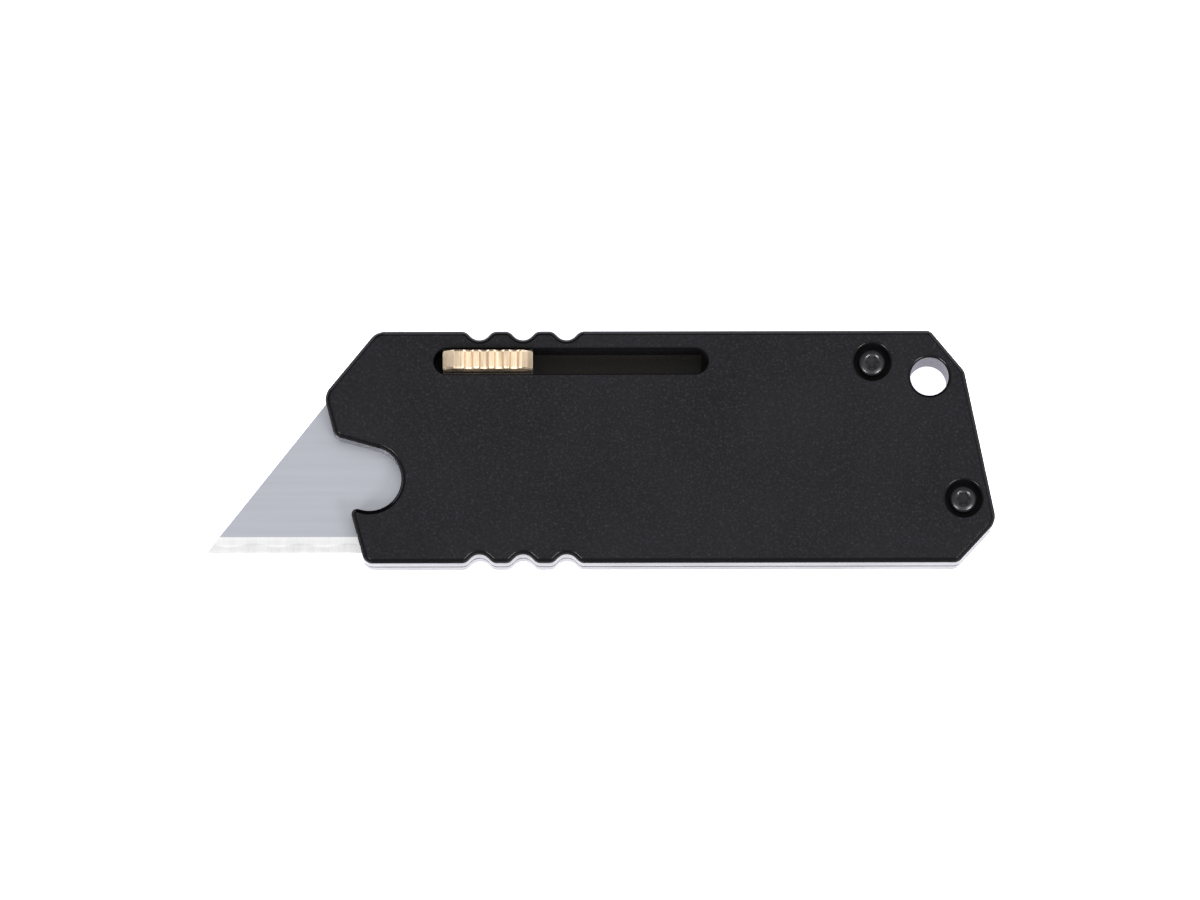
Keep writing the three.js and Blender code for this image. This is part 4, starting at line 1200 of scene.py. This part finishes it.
class KNIFE_OT_stage(Operator):
    """Set up the pale floor, the soft studio lights and the camera"""

    bl_idname = "knife.stage"
    bl_label = "Stage"

    def execute(self, context):
        sizes = context.scene.knife_stage
        self.add_floor(sizes)
        self.add_world(context.scene)
        self.add_lights(context.scene)
        self.add_camera(context.scene, sizes)
        context.scene.view_settings.view_transform = "Standard"
        return {"FINISHED"}

    def add_floor(self, sizes):
        bpy.ops.object.select_all(action="DESELECT")
        bpy.ops.mesh.primitive_plane_add(size=sizes.floor_size, location=(0, 0, REAR_LOW.z - 0.05 * MM))
        floor = named(bpy.context.object, "floor")
        material, tree, shader = new_material("pale_floor", metallic=0.0)
        shader.inputs["Base Color"].default_value = (0.85, 0.85, 0.86, 1)
        shader.inputs["Roughness"].default_value = 0.9
        shader.inputs["Emission Color"].default_value = (0.88, 0.86, 1.0, 1)
        tree.links.new(self.add_glow(tree, sizes), shader.inputs["Emission Strength"])
        floor.data.materials.append(material)

    def add_glow(self, tree, sizes):
        """Full glow for the camera; to the knife, a glow that fades a little way out from it."""
        split = tree.nodes.new("ShaderNodeSeparateXYZ")
        tree.links.new(object_vector(tree), split.inputs[0])
        beyond_end = arithmetic(tree, "SUBTRACT", arithmetic(tree, "ABSOLUTE", split.outputs["X"]), REAR_HIGH.x)
        beyond_side = arithmetic(tree, "SUBTRACT", arithmetic(tree, "ABSOLUTE", split.outputs["Y"]), REAR_HIGH.y)
        beyond = arithmetic(tree, "MAXIMUM", beyond_end, beyond_side)
        near = remap(tree, beyond, sizes.glow_reach, sizes.glow_reach * 4, sizes.glow, sizes.glow * 0.1)
        path = tree.nodes.new("ShaderNodeLightPath")
        seen = arithmetic(tree, "MULTIPLY", path.outputs["Is Camera Ray"], sizes.glow)
        return arithmetic(tree, "MAXIMUM", near, seen)

    def add_world(self, scene):
        """White to the camera; to the object, brightest overhead and towards the viewer, and dim behind."""
        world = bpy.data.worlds.new("studio")
        scene.world = world
        world.use_nodes = True
        tree = world.node_tree
        background = tree.nodes["Background"]
        coordinates = tree.nodes.new("ShaderNodeTexCoord")
        split = tree.nodes.new("ShaderNodeSeparateXYZ")
        tree.links.new(coordinates.outputs["Generated"], split.inputs[0])
        height = remap(tree, split.outputs["Z"], 0.15, 0.95, 0.22, 0.95)
        sides = arithmetic(tree, "MULTIPLY_ADD", arithmetic(tree, "ABSOLUTE", split.outputs["X"]), 0.54, height)
        uneven = arithmetic(tree, "MULTIPLY_ADD", split.outputs["X"], 0.3, sides)
        forward = arithmetic(tree, "MULTIPLY_ADD", split.outputs["Y"], -0.4, uneven)
        tree.links.new(arithmetic(tree, "MAXIMUM", forward, 0.03), background.inputs["Strength"])
        seen = tree.nodes.new("ShaderNodeBackground")
        path = tree.nodes.new("ShaderNodeLightPath")
        mix = tree.nodes.new("ShaderNodeMixShader")
        tree.links.new(path.outputs["Is Camera Ray"], mix.inputs[0])
        tree.links.new(background.outputs[0], mix.inputs[1])
        tree.links.new(seen.outputs[0], mix.inputs[2])
        seen.inputs["Color"].default_value = (1, 1, 1, 1)
        background.inputs["Color"].default_value = (1, 1, 1, 1)
        tree.links.new(mix.outputs[0], tree.nodes["World Output"].inputs["Surface"])

    def add_lights(self, scene):
        softboxes = (
            ("left_softbox", (-0.68, -0.68, 1.15), (0.42, 0.42), 23.0),
            ("right_softbox", (0.68, -0.68, 1.15), (0.42, 0.42), 23.0),
        )
        for name, place, (width, height), power in softboxes:
            lamp = bpy.data.lights.new(name, "AREA")
            lamp.shape = "RECTANGLE"
            lamp.size, lamp.size_y = width, height
            lamp.energy = power
            light = bpy.data.objects.new(name, lamp)
            scene.collection.objects.link(light)
            light.location = place
            light.rotation_euler = (-Vector(place)).to_track_quat("-Z", "Y").to_euler()
            light.visible_camera = False

    def add_camera(self, scene, sizes):
        camera = bpy.data.objects.new("camera", bpy.data.cameras.new("camera"))
        scene.collection.objects.link(camera)
        camera.data.lens = sizes.lens
        camera.data.sensor_width = 36
        camera.data.clip_start = 0.05
        away = Vector((0, -math.cos(sizes.elevation), math.sin(sizes.elevation)))
        camera.location = Vector((0, sizes.aim_y, SEAM_Z)) + away * sizes.distance
        camera.rotation_euler = (math.pi / 2 - sizes.elevation, 0, 0)
        camera.rotation_euler.rotate_axis("Z", sizes.roll)
        scene.camera = camera


class KNIFE_OT_scales(Operator):
    """Model the front and rear scales"""

    bl_idname = "knife.scales"
    bl_label = "Scales"

    def execute(self, context):
        sizes, openings = context.scene.knife_body, context.scene.knife_openings
        material = anodised_material(context.scene.knife_finish)
        blank = scale_blank(sizes)
        for make, node in ((front_scale, "front_scale"), (rear_scale, "rear_scale")):
            piece = make(sizes, openings, blank)
            finish_piece(piece, "shell", "scale", material, node)
        discard(blank)
        return {"FINISHED"}


class KNIFE_OT_blade(Operator):
    """Model the trapezoid blade with its two ground bands"""

    bl_idname = "knife.blade"
    bl_label = "Blade"

    def execute(self, context):
        piece = blade_shape(context.scene.knife_blade)
        finish_piece(piece, "carriage", "blade_steel", blade_material(context.scene.knife_finish), "blade")
        return {"FINISHED"}


class KNIFE_OT_slider(Operator):
    """Model the grooved brass thumb slider"""

    bl_idname = "knife.slider"
    bl_label = "Thumb slider"

    def execute(self, context):
        piece = slider_shape(context.scene.knife_slider)
        material = brass_material(context.scene.knife_finish)
        finish_piece(piece, "carriage", "slider_brass", material, "thumb_slider")
        return {"FINISHED"}


class KNIFE_OT_screws(Operator):
    """Model the body screws and the slider's screws"""

    bl_idname = "knife.screws"
    bl_label = "Screws"

    def execute(self, context):
        sizes = context.scene.knife_screws
        material = oxide_material("black_oxide", context.scene.knife_finish.oxide, 0.27)
        for end in ("upper", "lower", "nose"):
            node = f"body_screw_{end}"
            piece = screw_shape(node, sizes, sizes.head_height, sizes.shank_radius)
            finish_piece(piece, "shell", "black_screw", material, node)
        for end in ("front", "rear"):
            node = f"slider_screw_{end}"
            piece = screw_shape(node, sizes, sizes.slider_head_height, sizes.slider_shank_radius)
            finish_piece(piece, "carriage", "black_screw", material, node)
        return {"FINISHED"}


class KNIFE_OT_inner_parts(Operator):
    """Give the parts inside their finishes"""

    bl_idname = "knife.inner_parts"
    bl_label = "Inner parts"

    def execute(self, context):
        finish = context.scene.knife_finish
        materials = {
            "stainless": bare_metal("stainless_steel", finish.stainless, 0.28),
            "spring_steel": bare_metal("blued_spring_steel", finish.spring_steel, 0.34),
            "magnet_nickel": bare_metal("nickel_plate", finish.nickel, 0.16),
            "black_screw": bpy.data.materials["black_oxide"],
            "carrier_black": oxide_material("carrier_oxide", finish.carrier, 0.5),
        }
        slots = {row["node"]: row["material_slot"] for row in frame["record"]["subparts"]}
        for name, node in frame["nodes"].items():
            if node.hide_render:
                continue
            for slot in node.material_slots:
                slot.material = materials[slots[name]]
        return {"FINISHED"}


class KNIFE_PT_panel(Panel):
    """Lists the steps that build the knife"""

    bl_idname = "KNIFE_PT_panel"
    bl_label = "Utility knife"
    bl_space_type = "VIEW_3D"
    bl_region_type = "UI"
    bl_category = "Knife"

    def draw(self, context):
        for step in STEPS:
            self.layout.operator(step.bl_idname)


STEPS = (
    KNIFE_OT_stage,
    KNIFE_OT_scales,
    KNIFE_OT_blade,
    KNIFE_OT_slider,
    KNIFE_OT_screws,
    KNIFE_OT_inner_parts,
)
GROUPS = {
    "knife_body": KNIFE_PG_body,
    "knife_openings": KNIFE_PG_openings,
    "knife_blade": KNIFE_PG_blade,
    "knife_slider": KNIFE_PG_slider,
    "knife_screws": KNIFE_PG_screws,
    "knife_finish": KNIFE_PG_finish,
    "knife_stage": KNIFE_PG_stage,
}


def register():
    for group in GROUPS.values():
        bpy.utils.register_class(group)
    for name, group in GROUPS.items():
        setattr(bpy.types.Scene, name, PointerProperty(type=group))
    for step in STEPS:
        bpy.utils.register_class(step)
    bpy.utils.register_class(KNIFE_PT_panel)


def unregister():
    bpy.utils.unregister_class(KNIFE_PT_panel)
    for step in reversed(STEPS):
        bpy.utils.unregister_class(step)
    for name in GROUPS:
        delattr(bpy.types.Scene, name)
    for group in reversed(GROUPS.values()):
        bpy.utils.unregister_class(group)


def main():
    register()
    for step in STEPS:
        category, name = step.bl_idname.split(".")
        getattr(getattr(bpy.ops, category), name)()
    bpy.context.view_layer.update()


if __name__ == "__main__":
    main()
